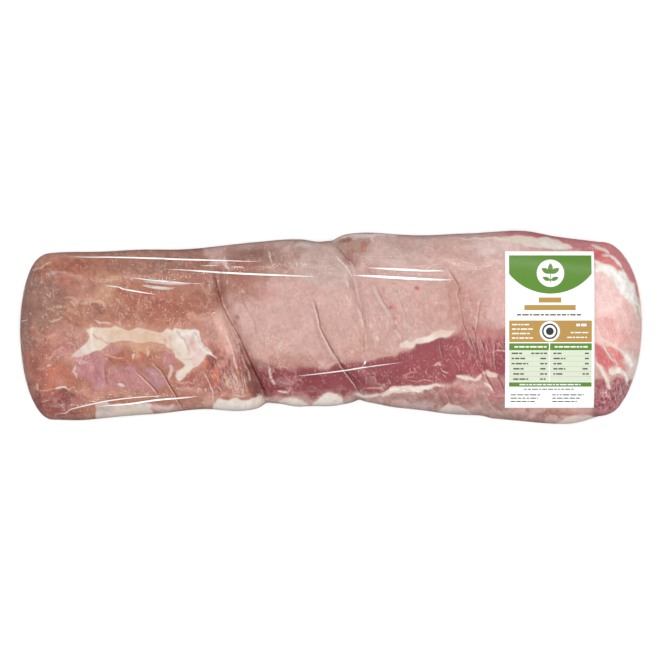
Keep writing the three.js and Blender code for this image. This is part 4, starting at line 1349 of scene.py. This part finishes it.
# Painted highlight on each pleat's lip, then painted shadow along its line.
pleat_socket = known(tree, "pleat")
lip_highlight = band(tree, pleat_socket, *LIP_HIGHLIGHT)
lip_highlight = times(tree, times(tree, lip_highlight, known(tree, "pleat_lip")), 0.45)
colour = blend(tree, lip_highlight, colour, (0.66, 0.55, 0.50, 1))
line = band(tree, pleat_socket, *SHADOW)
line = times(tree, times(tree, line, known(tree, "pleat_dark")), 0.8)
dark = tinted(tree, colour, (0.42, 0.24, 0.22, 1))
colour = blend(tree, line, colour, dark)

relief = maths(tree, "MULTIPLY_ADD", fibre, fibrous_socket, small_mottle)
relief = maths(tree, "MULTIPLY_ADD", lip_highlight, 0.6, relief)
relief = maths(tree, "MULTIPLY_ADD", times(tree, crumple, crumpled_socket), 3.0, relief)
bent = bumpy(tree, relief, 0.6, 0.5)
roughness = between(tree, fat_mottle, 0.36, 0.58)
coat(tree, output, {
    "Base Color": colour, "Roughness": roughness, "Normal": bent, "Specular IOR Level": 0.0,
})
meat.data.materials.append(meat_finish)
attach(meat, "root")
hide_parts("wrapped_loin")
print("The meat's finish has", len(tree.nodes), "nodes")

# %% [markdown]
# ## Threads and folds: lines that lie on a surface
#
# Two kinds of thin line remain. Threads of white connective tissue lie on the meat, and where shrink
# film is pulled hardest it gathers into long thin folds that shine; their near-white colour is a painted
# highlight, standing in for the lamps' reflections along them. Both could be painted, but only real
# ridges catch the light from every side. Each is a line drawn in front of the loin. One Geometry Nodes
# tree serves both: it throws the line onto a surface along each point's aim, thickens it to a round
# ridge that tapers to nothing at both ends, and notes how clear the ridge is along its length.

# %% Geometry Nodes helpers
STAND_OFF = 150.0
END_STAND_OFF = 350.0


def new_tree(name, sockets):
    """A Geometry Nodes tree with a geometry input and output and further named inputs."""
    tree = bpy.data.node_groups.new(name, "GeometryNodeTree")
    tree.interface.new_socket("Geometry", in_out="INPUT", socket_type="NodeSocketGeometry")
    tree.interface.new_socket("Geometry", in_out="OUTPUT", socket_type="NodeSocketGeometry")
    for title, kind in sockets:
        tree.interface.new_socket(title, in_out="INPUT", socket_type=kind)
    start = tree.nodes.new("NodeGroupInput")
    end = tree.nodes.new("NodeGroupOutput")
    return tree, start.outputs, end.inputs[0]


def end_tree(tree, geometry, finish, result):
    """Makes one smooth mesh of what a tree made, in a finish, and gives it out."""
    geometry = made(tree, "GeometryNodeRealizeInstances", {0: geometry})
    geometry = made(tree, "GeometryNodeSetShadeSmooth", {0: geometry})
    geometry = made(tree, "GeometryNodeSetMaterial", {"Geometry": geometry, "Material": finish})
    tree.links.new(geometry, result)


def run_tree(piece, tree, values):
    """Runs a tree on a piece with the given inputs, and keeps the result as the piece's plain mesh."""
    modifier = piece.modifiers.new(tree.name, "NODES")
    modifier.node_group = tree
    for socket in tree.interface.items_tree:
        if socket.in_out == "INPUT" and socket.name in values:
            modifier[socket.identifier] = values[socket.name]
    graph = bpy.context.evaluated_depsgraph_get()
    plain = bpy.data.meshes.new_from_object(
        piece.evaluated_get(graph), preserve_all_data_layers=True, depsgraph=graph
    )
    piece.modifiers.clear()
    piece.data = plain
    return piece


def on_side(side, a, b):
    """A point in front of one side of the loin, and the way from it to the loin."""
    return {
        "top": ((a, b, STAND_OFF), (0, 0, -1)),
        "far": ((a, STAND_OFF, b), (0, -1, 0)),
        "near": ((a, -STAND_OFF, b), (0, 1, 0)),
        "blunt": ((-END_STAND_OFF, a, b), (1, 0, 0)),
        "round": ((END_STAND_OFF, a, b), (-1, 0, 0)),
    }[side]


def line_piece(name, lines):
    """Loose lines before the loin, from rows of side, width, clearness and route."""
    points, aims, edges, widths, clearness = [], [], [], [], []
    for side, width, clear_share, route in lines:
        first = len(points)
        for a, b in route:
            point, aim = on_side(side, a, b)
            points.append(point)
            aims.append(aim)
        edges += [(first + i, first + i + 1) for i in range(len(route) - 1)]
        widths += [width] * len(route)
        clearness += [clear_share] * len(route)
    mesh = bpy.data.meshes.new(name)
    mesh.from_pydata(((np.array(points, float) + SHIFT) * MM).tolist(), edges, [])
    piece = add_object(name, mesh)
    store_number(piece, "width", widths)
    store_number(piece, "clearness", clearness)
    layer = mesh.attributes.new("aim", "FLOAT_VECTOR", "POINT")
    layer.data.foreach_set("vector", np.array(aims, np.float32).ravel())
    return piece


print("Tree helpers ready")

# %% A tree that lays ridges on a surface
RIDGE_SECTION = (0.4, 1.0, 1.0)
TIP_MERGE = 0.001 * MM  # makes one point of the ring at a tip, which has no size
tree, given, result = new_tree("ridges_on_a_surface", [
    ("Surface", "NodeSocketObject"), ("Point spacing", "NodeSocketFloat"),
    ("Sink", "NodeSocketFloat"), ("Finish", "NodeSocketMaterial"),
])


def read(tree, name, data_type="FLOAT"):
    """A named attribute of the geometry that a tree works on."""
    return made(tree, "GeometryNodeInputNamedAttribute", {"Name": name}, data_type=data_type)


curves = made(tree, "GeometryNodeMeshToCurve", {0: given["Geometry"]})
curves = made(tree, "GeometryNodeCurveSplineType", {0: curves}, spline_type="CATMULL_ROM")
spacing = {"Curve": curves, "Length": given["Point spacing"]}
curves = made(tree, "GeometryNodeResampleCurve", spacing, mode="LENGTH")
surface = put(tree, "GeometryNodeObjectInfo", {"Object": given["Surface"]}).outputs["Geometry"]
aim = read(tree, "aim", "FLOAT_VECTOR")
hit = put(tree, "GeometryNodeRaycast", {"Target Geometry": surface, "Ray Direction": aim})
inwards = made(tree, "ShaderNodeVectorMath", {0: aim, "Scale": given["Sink"]}, operation="SCALE")
spot = made(tree, "ShaderNodeVectorMath", {0: hit.outputs["Hit Position"], 1: inwards})
curves = made(tree, "GeometryNodeSetPosition", {"Geometry": curves, "Position": spot})
missed = made(tree, "FunctionNodeBooleanMath", {0: hit.outputs["Is Hit"]}, operation="NOT")
curves = made(tree, "GeometryNodeDeleteGeometry", {"Geometry": curves, "Selection": missed})
curves = made(tree, "GeometryNodeSetCurveNormal", {"Curve": curves, "Normal": aim}, mode="FREE")
share = put(tree, "GeometryNodeSplineParameter").outputs["Factor"]
hump = times(tree, share, beside(tree, share))
taper = maths(tree, "POWER", times(tree, hump, 4.0), 0.6)
radius = times(tree, times(tree, read(tree, "width"), taper), MM / 2)
shine = times(tree, read(tree, "clearness"), taper)
note = {"Geometry": curves, "Name": "shine", "Value": shine}
curves = made(tree, "GeometryNodeStoreNamedAttribute", note, data_type="FLOAT", domain="POINT")
profile = made(tree, "GeometryNodeCurvePrimitiveCircle", {"Resolution": 8, "Radius": 1.0})
profile = made(tree, "GeometryNodeTransform", {"Geometry": profile, "Scale": RIDGE_SECTION})
ridges = made(tree, "GeometryNodeCurveToMesh", {
    "Curve": curves, "Profile Curve": profile, "Scale": radius, "Fill Caps": True,
})
ridges = made(tree, "GeometryNodeMergeByDistance", {"Geometry": ridges, "Distance": TIP_MERGE})
end_tree(tree, ridges, given["Finish"], result)
ridge_tree = tree
print("Ridge tree has", len(tree.nodes), "nodes")

# %% Threads of white tissue: width, clearness, route
DRAWN_THREADS = [
    (1.1, 0.6, [(-255.5, -66), (-250.5, -64.5), (-244, -62.5)]),
    (1, 0.6, [(-174, -22), (-173.5, -26), (-172, -28)]),
    (0.9, 0.6, [(-98, -36), (-95, -46), (-93, -56)]),
    (1, 0.7, [(-86, -34), (-83, -44), (-80, -56)]),
    (1, 0.6, [(72, -49.5), (80, -46), (88, -47), (94, -50)]),
    (1.2, 0.7, [(95, -36), (99, -39), (104, -40)]),
]
THREAD_BUNDLES = [  # number, first root, last root, length, way of growth in degrees, width, clearness
    (13, (-104, -24), (-80, -34), 26, -76, 0.8, 0.55),
    (16, (231, -44), (262, -46), 17, -66, 0.8, 0.35),
    (20, (112, -5), (148, -10), 20, -74, 0.8, 0.5),
    (14, (118, -20), (150, -27), 17, -62, 0.7, 0.5),
    (16, (236, -50), (264, -52), 22, -72, 0.7, 0.35),
    (9, (-20, 8), (90, 14), 14, -70, 0.6, 0.2),
    (10, (-214, -30), (-142, -34), 14, -68, 0.7, 0.28),
    (10, (232, 68), (262, 46), 8, -24, 0.9, 0.5),
    (8, (-60, -40), (96, -30), 14, -68, 0.6, 0.22),
]
draw = np.random.default_rng(11)
threads = [("top", *row) for row in DRAWN_THREADS]
for number, first, last, length, heading, width, clear_share in THREAD_BUNDLES:
    for along in (np.arange(number) + draw.uniform(0.1, 0.9, number)) / number:
        root = np.array(first, float) * (1 - along) + np.array(last, float) * along
        root += draw.normal(0, 2.5, 2)
        turn = math.radians(heading + draw.normal(0, 7))
        bend = draw.normal(0, 0.10)
        grown = length * draw.uniform(0.5, 1.2)
        route = []
        for step in np.linspace(0, 1, 4):
            way = np.array([math.cos(turn + bend * step), math.sin(turn + bend * step)])
            route.append(tuple(root + grown * step * way))
        thin = width * draw.uniform(0.6, 1.3)
        threads.append(("top", thin, clear_share * draw.uniform(0.6, 1.2), route))

thread_finish, tree, output = new_finish("white_tissue")
spot = own_place(tree)
shade = blend(tree, grain(tree, spot, 2.0), (0.52, 0.42, 0.38, 1), (0.70, 0.62, 0.57, 1))
see_through = maths(tree, "MINIMUM", known(tree, "shine"), 1.0)
coat(tree, output, {"Base Color": shade, "Roughness": 0.45, "Alpha": see_through})
thread_piece = run_tree(line_piece("tissue_threads", threads), ridge_tree, {
    "Surface": meat, "Point spacing": 1.2 * MM, "Sink": 0.15 * MM, "Finish": thread_finish,
})
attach(thread_piece, "root")
print(len(threads), "threads,", len(thread_piece.data.polygons), "faces")

# %% Folds of the film, near-white as painted highlights: width, clearness, route
TOP_FOLDS = [
    (1.5, 0.9, [(-230, 62), (-208.5, 61.5), (-194.5, 61.5), (-157.5, 60.5), (-132.5, 59.5), (-97.5, 58.5),
        (-82, 58), (-59.5, 57.5)]),
    (1.7, 0.9, [(-144.5, 51), (-126.5, 50), (-97.5, 48), (-69.5, 46.5), (-44.5, 45.5), (-9.5, 44)]),
    (1.2, 0.6, [(-178.5, 44), (-163.5, 42), (-142, 40), (-126.5, 38.5), (-108.5, 38)]),
    (4, 0.22, [(-166, 40.5), (-148, 39.5), (-124.5, 37.5)]),
    (3.2, 0.3, [(-166.5, 37), (-155, 35), (-145, 34), (-137, 34)]),
    (1.2, 0.8, [(-201, 37), (-185.5, 35), (-182, 33.5), (-165, 30.5), (-151.5, 28.5)]),
    (2.1, 0.95, [(30.5, 52), (41.5, 51.5), (60, 50.5), (83, 49.5), (90.5, 49.5), (103, 49)]),
    (2.7, 0.95, [(17, 45.5), (38.5, 44.5), (54, 43.5), (83, 42), (97, 41.5), (107.5, 41.5)]),
    (1, 0.8, [(-33.5, -43), (-23, -42), (-14, -41), (10.5, -38), (29, -35), (47.5, -32.5),
        (63.5, -30.5)]),
    (1.6, 1, [(28.5, -33.5), (29.5, -31), (31, -28.5)]),
    (1, 0.75, [(-244, -77), (-238, -76), (-232.5, -75), (-229.5, -72.5), (-223, -70.5), (-214.5, -68.5),
        (-206, -66.5), (-196, -64.5), (-177, -62), (-157.5, -60.5), (-141.5, -60)]),
    (1.6, 0.95, [(-206.5, -70), (-196, -68.5), (-194.5, -68.5), (-176, -67), (-151.5, -63.5),
        (-132.5, -62), (-113, -60)]),
    (1, 0.4, [(-88.5, 53), (-74.5, 52.5)]),
    (0.9, 0.35, [(-115.5, 54), (-97.5, 54)]),
]
LONG_FOLDS = 26  # along both sides
END_FOLDS = 22  # on both ends, spread out from the tip
END_REACH = (58, 22)  # how far they reach, across and up
END_SWING = 0.12  # and how much they turn aside on that way
draw = np.random.default_rng(7)
folds = [("top", *row) for row in TOP_FOLDS]
for i in range(LONG_FOLDS):
    side = "far" if i % 2 else "near"
    middle = draw.uniform(-220, 220)
    length = draw.uniform(30, 110)
    level = draw.uniform(8, 27)
    fall = draw.normal(0, 3)
    route = []
    for s in (-0.5, -0.17, 0.17, 0.5):
        route.append((middle + length * s, level + fall * s + draw.normal(0, 0.8)))
    folds.append((side, draw.uniform(0.7, 1.3), draw.uniform(0.15, 0.55), route))
for i in range(END_FOLDS):
    side = "round" if i % 2 else "blunt"
    turn = 2 * math.pi * (i + draw.uniform(0, 0.8)) / END_FOLDS
    middle = TIP_Y[1] if side == "round" else TIP_Y[0]
    route = []
    for r in (0.25, 0.55, 0.8, 1.0):
        swung = turn + END_SWING * r
        across = middle + END_REACH[0] * r * math.cos(swung)
        route.append((across, WIDEST_Z + END_REACH[1] * r * math.sin(swung)))
    folds.append((side, draw.uniform(0.7, 1.2), draw.uniform(0.1, 0.35), route))

# The folds' near-white colour is a painted highlight; only their slight gloss is lit by the lamps.
fold_highlight_finish, tree, output = new_finish("film_fold_highlight")
see_through = maths(tree, "MINIMUM", known(tree, "shine"), 1.0)
spot = own_place(tree)
streaky = grain(tree, spot, 1.5, stretch=(0.12, 1, 1), detail=2.0)
see_through = times(tree, see_through, ramp(tree, streaky, 0.2, 0.5))
coat(tree, output, {"Base Color": (0.86, 0.84, 0.82, 1), "Roughness": 0.22, "Alpha": see_through})
fold_piece = run_tree(line_piece("film_folds", folds), ridge_tree, {
    "Surface": film, "Point spacing": 1.5 * MM, "Sink": 0.10 * MM, "Finish": fold_highlight_finish,
})
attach(fold_piece, "root")
print(len(folds), "folds,", len(fold_piece.data.polygons), "faces")

# %% [markdown]
# ## Air bubbles under the film
#
# Where the film could not press all air out, small bubbles stay. They are flat drops, set on the film's
# inner side by another tree: it scatters points by a density that is kept on the film's points, puts a
# drop on each, turned to the surface and of its own size, and makes all of them one plain mesh. Their
# whitish colour, strongest at their rims, is a painted glint: it stands for the tiny bright specks that
# the lamps make on them.

# %% A tree that scatters drops on a surface
LEAST_GAP = 0.8 * MM  # between the middles of two drops
FLATNESS = 0.35
tree, given, result = new_tree("drops_on_a_surface", [
    ("Drops per square metre", "NodeSocketFloat"), ("Smallest", "NodeSocketFloat"),
    ("Largest", "NodeSocketFloat"), ("Seed", "NodeSocketInt"), ("Finish", "NodeSocketMaterial"),
])


def drawn(tree, low, high, seed, data_type="FLOAT"):
    """A random value between low and high for every drop."""
    ends = {"Min": low, "Max": high, "Seed": seed}
    value = put(tree, "FunctionNodeRandomValue", ends, data_type=data_type)
    return [socket for socket in value.outputs if socket.enabled][0]


scattered = put(tree, "GeometryNodeDistributePointsOnFaces", {
    "Mesh": given["Geometry"], "Density Max": given["Drops per square metre"],
    "Density Factor": read(tree, "bubbles"), "Distance Min": LEAST_GAP, "Seed": given["Seed"],
}, distribute_method="POISSON")
drop = made(tree, "GeometryNodeMeshIcoSphere", {"Radius": 1.0, "Subdivisions": 1})
drop = made(tree, "GeometryNodeTransform", {"Geometry": drop, "Scale": (1.0, 1.0, FLATNESS)})
lot = maths(tree, "POWER", drawn(tree, 0.0, 1.0, given["Seed"]), 2.5)  # so most drops are small
size = between(tree, lot, given["Smallest"], given["Largest"])
stretch = drawn(tree, (0.9, 0.6, 0.8), (2.4, 1.0, 1.2), 5, "FLOAT_VECTOR")
size = made(tree, "ShaderNodeVectorMath", {0: stretch, "Scale": size}, operation="SCALE")
spin = {"Axis": (0, 0, 1), "Angle": drawn(tree, 0.0, 6.28, 6)}
spin = made(tree, "FunctionNodeAxisAngleToRotation", spin)
lie = {0: scattered.outputs["Rotation"], 1: spin}
lie = made(tree, "FunctionNodeRotateRotation", lie, rotation_space="LOCAL")
drops = made(tree, "GeometryNodeInstanceOnPoints", {
    "Points": scattered.outputs["Points"], "Instance": drop, "Rotation": lie, "Scale": size,
})
end_tree(tree, drops, given["Finish"], result)
scatter_tree = tree
print("Scatter tree has", len(tree.nodes), "nodes")

# %% Bubbles: middle, half length and width, share, and turn of the areas that have them
LOWEST_BUBBLE = 4.0
BUBBLE_AREAS = [
    (-150, 52, 34, 7, 1), (-252, -22, 14, 12, 0.8), (-160, 20, 34, 14, 0.35), (-250, 15, 18, 26, 0.25),
    (226, 68, 36, 6, 0.6, -16), (266, 36, 6, 26, 0.5, 25), (70, 10, 60, 30, 0.1), (-30, 60, 40, 10, 0.3),
]
bubbly = share_in(BUBBLE_AREAS, film_sheet, elsewhere=0.02)
bubbly *= film_points[:, 2] > LOWEST_BUBBLE
# The drops' whitish colour is a painted glint, strongest where they are seen edge-on.
bubble_glint_finish, tree, output = new_finish("air_bubble")
rim = put(tree, "ShaderNodeLayerWeight", {"Blend": 0.4}).outputs["Facing"]
bubble_glint = between(tree, rim, 0.35, 0.85)
coat(tree, output, {"Base Color": (0.74, 0.70, 0.67, 1), "Roughness": 0.15, "Alpha": bubble_glint})
bubbles = add_object("air_bubbles", film.data.copy())
store_number(bubbles, "bubbles", bubbly)
run_tree(bubbles, scatter_tree, {
    "Drops per square metre": 90000.0, "Smallest": 0.20 * MM, "Largest": 0.60 * MM, "Seed": 3,
    "Finish": bubble_glint_finish,
})
bubbles.data.materials.clear()
bubbles.data.materials.append(bubble_glint_finish)
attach(bubbles, "root")
DROP_FACES = 20
print("Bubbles:", len(bubbles.data.polygons) // DROP_FACES)

# %% [markdown]
# ## The label
#
# A paper label is stuck on the film. It bends with the loin, so it is a sheet laid over the same smooth
# top, with real thickness. The print is a plain one: fields of colour, bars, rings and dashes in the
# place of words. Each print colour is one thin layer of ink over the paper, so that it can have its own
# gloss.

# %% Shapes that follow the label
PAPER = 0.25
LABEL_STEP = 2.0
INK_LIFT = 0.05


def on_label(u, v, lift):
    """Points over the label, from distances across and down from its far left corner."""
    x = LABEL["x"] - LABEL["width"] / 2 + u
    y = LABEL["y"] + LABEL["length"] / 2 - v
    return np.stack([x, y, top_at(x, y) + LABEL["gap"] + lift], axis=-1)


def grid_faces(rows, columns, first=0):
    """Faces between rows of points, with the first point's number."""
    start = first + (np.arange(rows - 1)[:, None] * columns + np.arange(columns - 1)[None, :]).reshape(-1)
    return np.stack([start, start + 1, start + columns + 1, start + columns], axis=1).tolist()


def bar(left, top, right, bottom):
    """A rectangle of print, as places across and down."""
    u = np.linspace(left, right, max(2, round((right - left) / LABEL_STEP) + 1))
    v = np.linspace(top, bottom, max(2, round((bottom - top) / LABEL_STEP) + 1))
    return np.meshgrid(u, v, indexing="ij")


def ring(middle_u, middle_v, inner, outer, steps=48):
    """A ring of print, or a disc where the inner radius is next to nothing."""
    turn = np.linspace(2 * math.pi, 0, steps + 1)  # clockwise on the sheet, so that the faces look up
    out = np.linspace(inner, outer, max(2, round((outer - inner) / LABEL_STEP) + 1))
    turn, out = np.meshgrid(turn, out, indexing="ij")
    return middle_u + out * np.cos(turn), middle_v + out * np.sin(turn)


def shield(left, top, right, shoulder, foot):
    """A field with straight sides that ends below in a wide bow."""
    u = np.linspace(left, right, round((right - left) / LABEL_STEP) + 1)
    half, sag = (right - left) / 2, foot - shoulder
    radius = (half**2 + sag**2) / (2 * sag)
    bow = foot - radius + np.sqrt(radius**2 - (u - left - half) ** 2)
    down = np.linspace(0, 1, 14)[None, :]
    return np.broadcast_to(u[:, None], (len(u), 14)), top + (bow[:, None] - top) * down


def leaf(u, v, length, width, turn):
    """A pointed leaf from its stalk at (u, v)."""
    along = np.linspace(0.001, 0.999, 12)
    half = width / 2 * np.sin(along * math.pi) ** 0.8
    across = np.linspace(-1, 1, 5)
    a = along[:, None] * length * np.ones(5)
    b = half[:, None] * across[None, :]
    c, s = math.cos(math.radians(turn)), math.sin(math.radians(turn))
    return u + a * c - b * s, v + a * s + b * c


def dashes(left, right, level, height, seed, gap=0.8):
    """A row of short dashes of uneven length, like a line of small print."""
    draw = np.random.default_rng(seed)
    shapes = []
    u = left
    while u < right - 1.0:
        end = min(u + draw.uniform(1.6, 6.0), right)
        shapes.append(bar(u, level, end, level + height))
        u = end + gap
    return shapes


print("Shapes of print are ready")

# %% Label paper
across = np.linspace(0, LABEL["width"], round(LABEL["width"] / LABEL_STEP) + 1)
down = np.linspace(0, LABEL["length"], round(LABEL["length"] / LABEL_STEP) + 1)
u, v = np.meshgrid(across, down, indexing="ij")
top_points = on_label(u, v, PAPER).reshape(-1, 3)
under_points = on_label(u, v, 0.0).reshape(-1, 3)
rows, columns = u.shape
top_faces = grid_faces(rows, columns)
under_faces = [face[::-1] for face in grid_faces(rows, columns, rows * columns)]
number = np.arange(rows * columns).reshape(rows, columns)
rim = np.concatenate([number[:-1, 0], number[-1, :-1], number[:0:-1, -1], number[0, :0:-1]])
under = rows * columns
walls = [[int(a), int(a) + under, int(b) + under, int(b)] for a, b in zip(rim, np.roll(rim, -1))]
label = mesh_piece("label_sheet", np.concatenate([top_points, under_points]) + SHIFT,
                   top_faces + under_faces + [wall[::-1] for wall in walls])
paper_finish, tree, output = new_finish("coated_paper")
spot = own_place(tree)
pulp = grain(tree, spot, 0.7, detail=4.0)
shade = blend(tree, pulp, (0.72, 0.735, 0.73, 1), (0.78, 0.79, 0.785, 1))
bent = bumpy(tree, pulp, 0.15, 0.1)
coat(tree, output, {"Base Color": shade, "Roughness": 0.38, "Normal": bent})
label.data.materials.append(paper_finish)
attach(label, "root")
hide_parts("label")
print("Label sheet:", len(label.data.polygons), "faces")

# %% What is printed in each ink, layer over layer
LEFT, MIDDLE, RIGHT = 3.3, 39.0, 75.6
TABLE_TOP, ROW, TABLE_ROWS = 87.1, 4.5, 6
HALF_RULE = 0.12
DISC = 0.05  # the inner radius of a ring that is to be a disc
SEAL = (38.8, 70.0)
green = [
    shield(LEFT, 3.6, RIGHT, 19.9, 37.2),
    bar(LEFT, 80.4, MIDDLE - 0.9, 86.7), bar(MIDDLE, 80.4, RIGHT, 86.7), bar(LEFT, 114.5, RIGHT, 118.4),
]
ochre = [bar(LEFT, 60.5, RIGHT, 79.6)]
ochre += [bar(29.0, 40.4, 48.9, 45.0), bar(16.5, 47.0, 61.5, 51.6)]
pale_green = [bar(LEFT, TABLE_TOP, RIGHT, TABLE_TOP + ROW * TABLE_ROWS)]
grey = dashes(10.0, 67.5, 54.9, 1.4, 1) + dashes(16.2, 60.1, 120.1, 1.0, 2)
for i in range(TABLE_ROWS):
    level = TABLE_TOP + ROW * i + 1.5
    shift = 1.5 if i > 2 else 0.0
    grey += dashes(5.5 + shift, 16.0 + 2 * (i % 3), level, 1.3, 10 + i)
    grey += dashes(30.5 - 8 * (i == 0), 36.5, level, 1.3, 20 + i)
    if i < TABLE_ROWS - 1:
        grey += dashes(42.0, 50.5 + 2 * (i % 2), level, 1.3, 30 + i)
        grey += dashes(69.5 - 2 * (i > 2), 73.0, level, 1.3, 40 + i)
for i in range(3):
    grey += dashes(4.8, 31.0 - 2 * i, 125.0 + 2.9 * i, 1.1, 50 + i)
    grey += dashes(41.2, 69.0 - 3 * i, 125.0 + 2.9 * i, 1.1, 60 + i)
rules = []
for i in range(1, TABLE_ROWS):
    level = TABLE_TOP + ROW * i
    rules.append(bar(LEFT, level - HALF_RULE, RIGHT, level + HALF_RULE))
white = [ring(39.5, 19.3, DISC, 12.0), ring(*SEAL, DISC, 8.8)]
white.append(bar(MIDDLE - 0.9, TABLE_TOP, MIDDLE, 114.1))
white += dashes(8.0, 36.0, 82.9, 1.3, 70) + dashes(43.0, 73.0, 82.9, 1.3, 71)
white += dashes(12.5, 66.0, 116.0, 1.1, 72)
for i in range(4):
    white += dashes(5.8, 22.0 + 2 * (i % 2), 63.6 + 3.9 * i, 1.1, 80 + i)
white += dashes(62.0, 72.5, 63.4, 2.2, 90, 1.0)
white += dashes(57.0, 72.5, 70.6, 1.0, 91) + dashes(54.0, 72.5, 74.8, 1.0, 92)
sprig = [bar(39.2, 17.0, 39.8, 27.5)]
for turn in (-150, -90, -30):
    sprig.append(leaf(39.5, 19.5, 9.0, 4.4, turn))
sprig += [leaf(39.5, 25.5, 7.5, 3.4, -160), leaf(39.5, 25.5, 7.5, 3.4, -20)]
seal = [ring(*SEAL, 5.4, 6.8), ring(*SEAL, DISC, 3.4)]
PRINT = [
    ("ink_green", (94, 140, 50), 1, green), ("ink_ochre", (186, 146, 78), 1, ochre),
    ("ink_pale_green", (219, 227, 205), 1, pale_green), ("ink_rules", (170, 190, 160), 2, rules),
    ("ink_white", (252, 253, 250), 2, white), ("ink_grey", (92, 92, 84), 3, grey),
    ("ink_sprig", (94, 140, 50), 3, sprig), ("ink_seal", (52, 52, 50), 3, seal),
]
print("The print has", sum(len(shapes) for _, _, _, shapes in PRINT), "shapes")

# %% Lay the ink
for name, shown, layer_number, shapes in PRINT:
    points, faces = [], []
    for u, v in shapes:
        faces += grid_faces(*u.shape, first=sum(len(part) for part in points))
        points.append(on_label(u, v, PAPER + INK_LIFT * layer_number).reshape(-1, 3))
    ink = mesh_piece("print_" + name[4:], np.concatenate(points) + SHIFT, faces)
    ink_finish, tree, output = new_finish(name)
    spot = own_place(tree)
    patchy = grain(tree, spot, 1.2, detail=5.0)
    full = np.array(seen(*shown))
    shade = blend(tree, patchy, (*(full * 0.93), 1), (*np.minimum(full * 1.06, 0.9), 1))
    coat(tree, output, {"Base Color": shade, "Roughness": 0.3})
    ink.data.materials.append(ink_finish)
    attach(ink, "root")
print("Printed", len(PRINT), "layers")
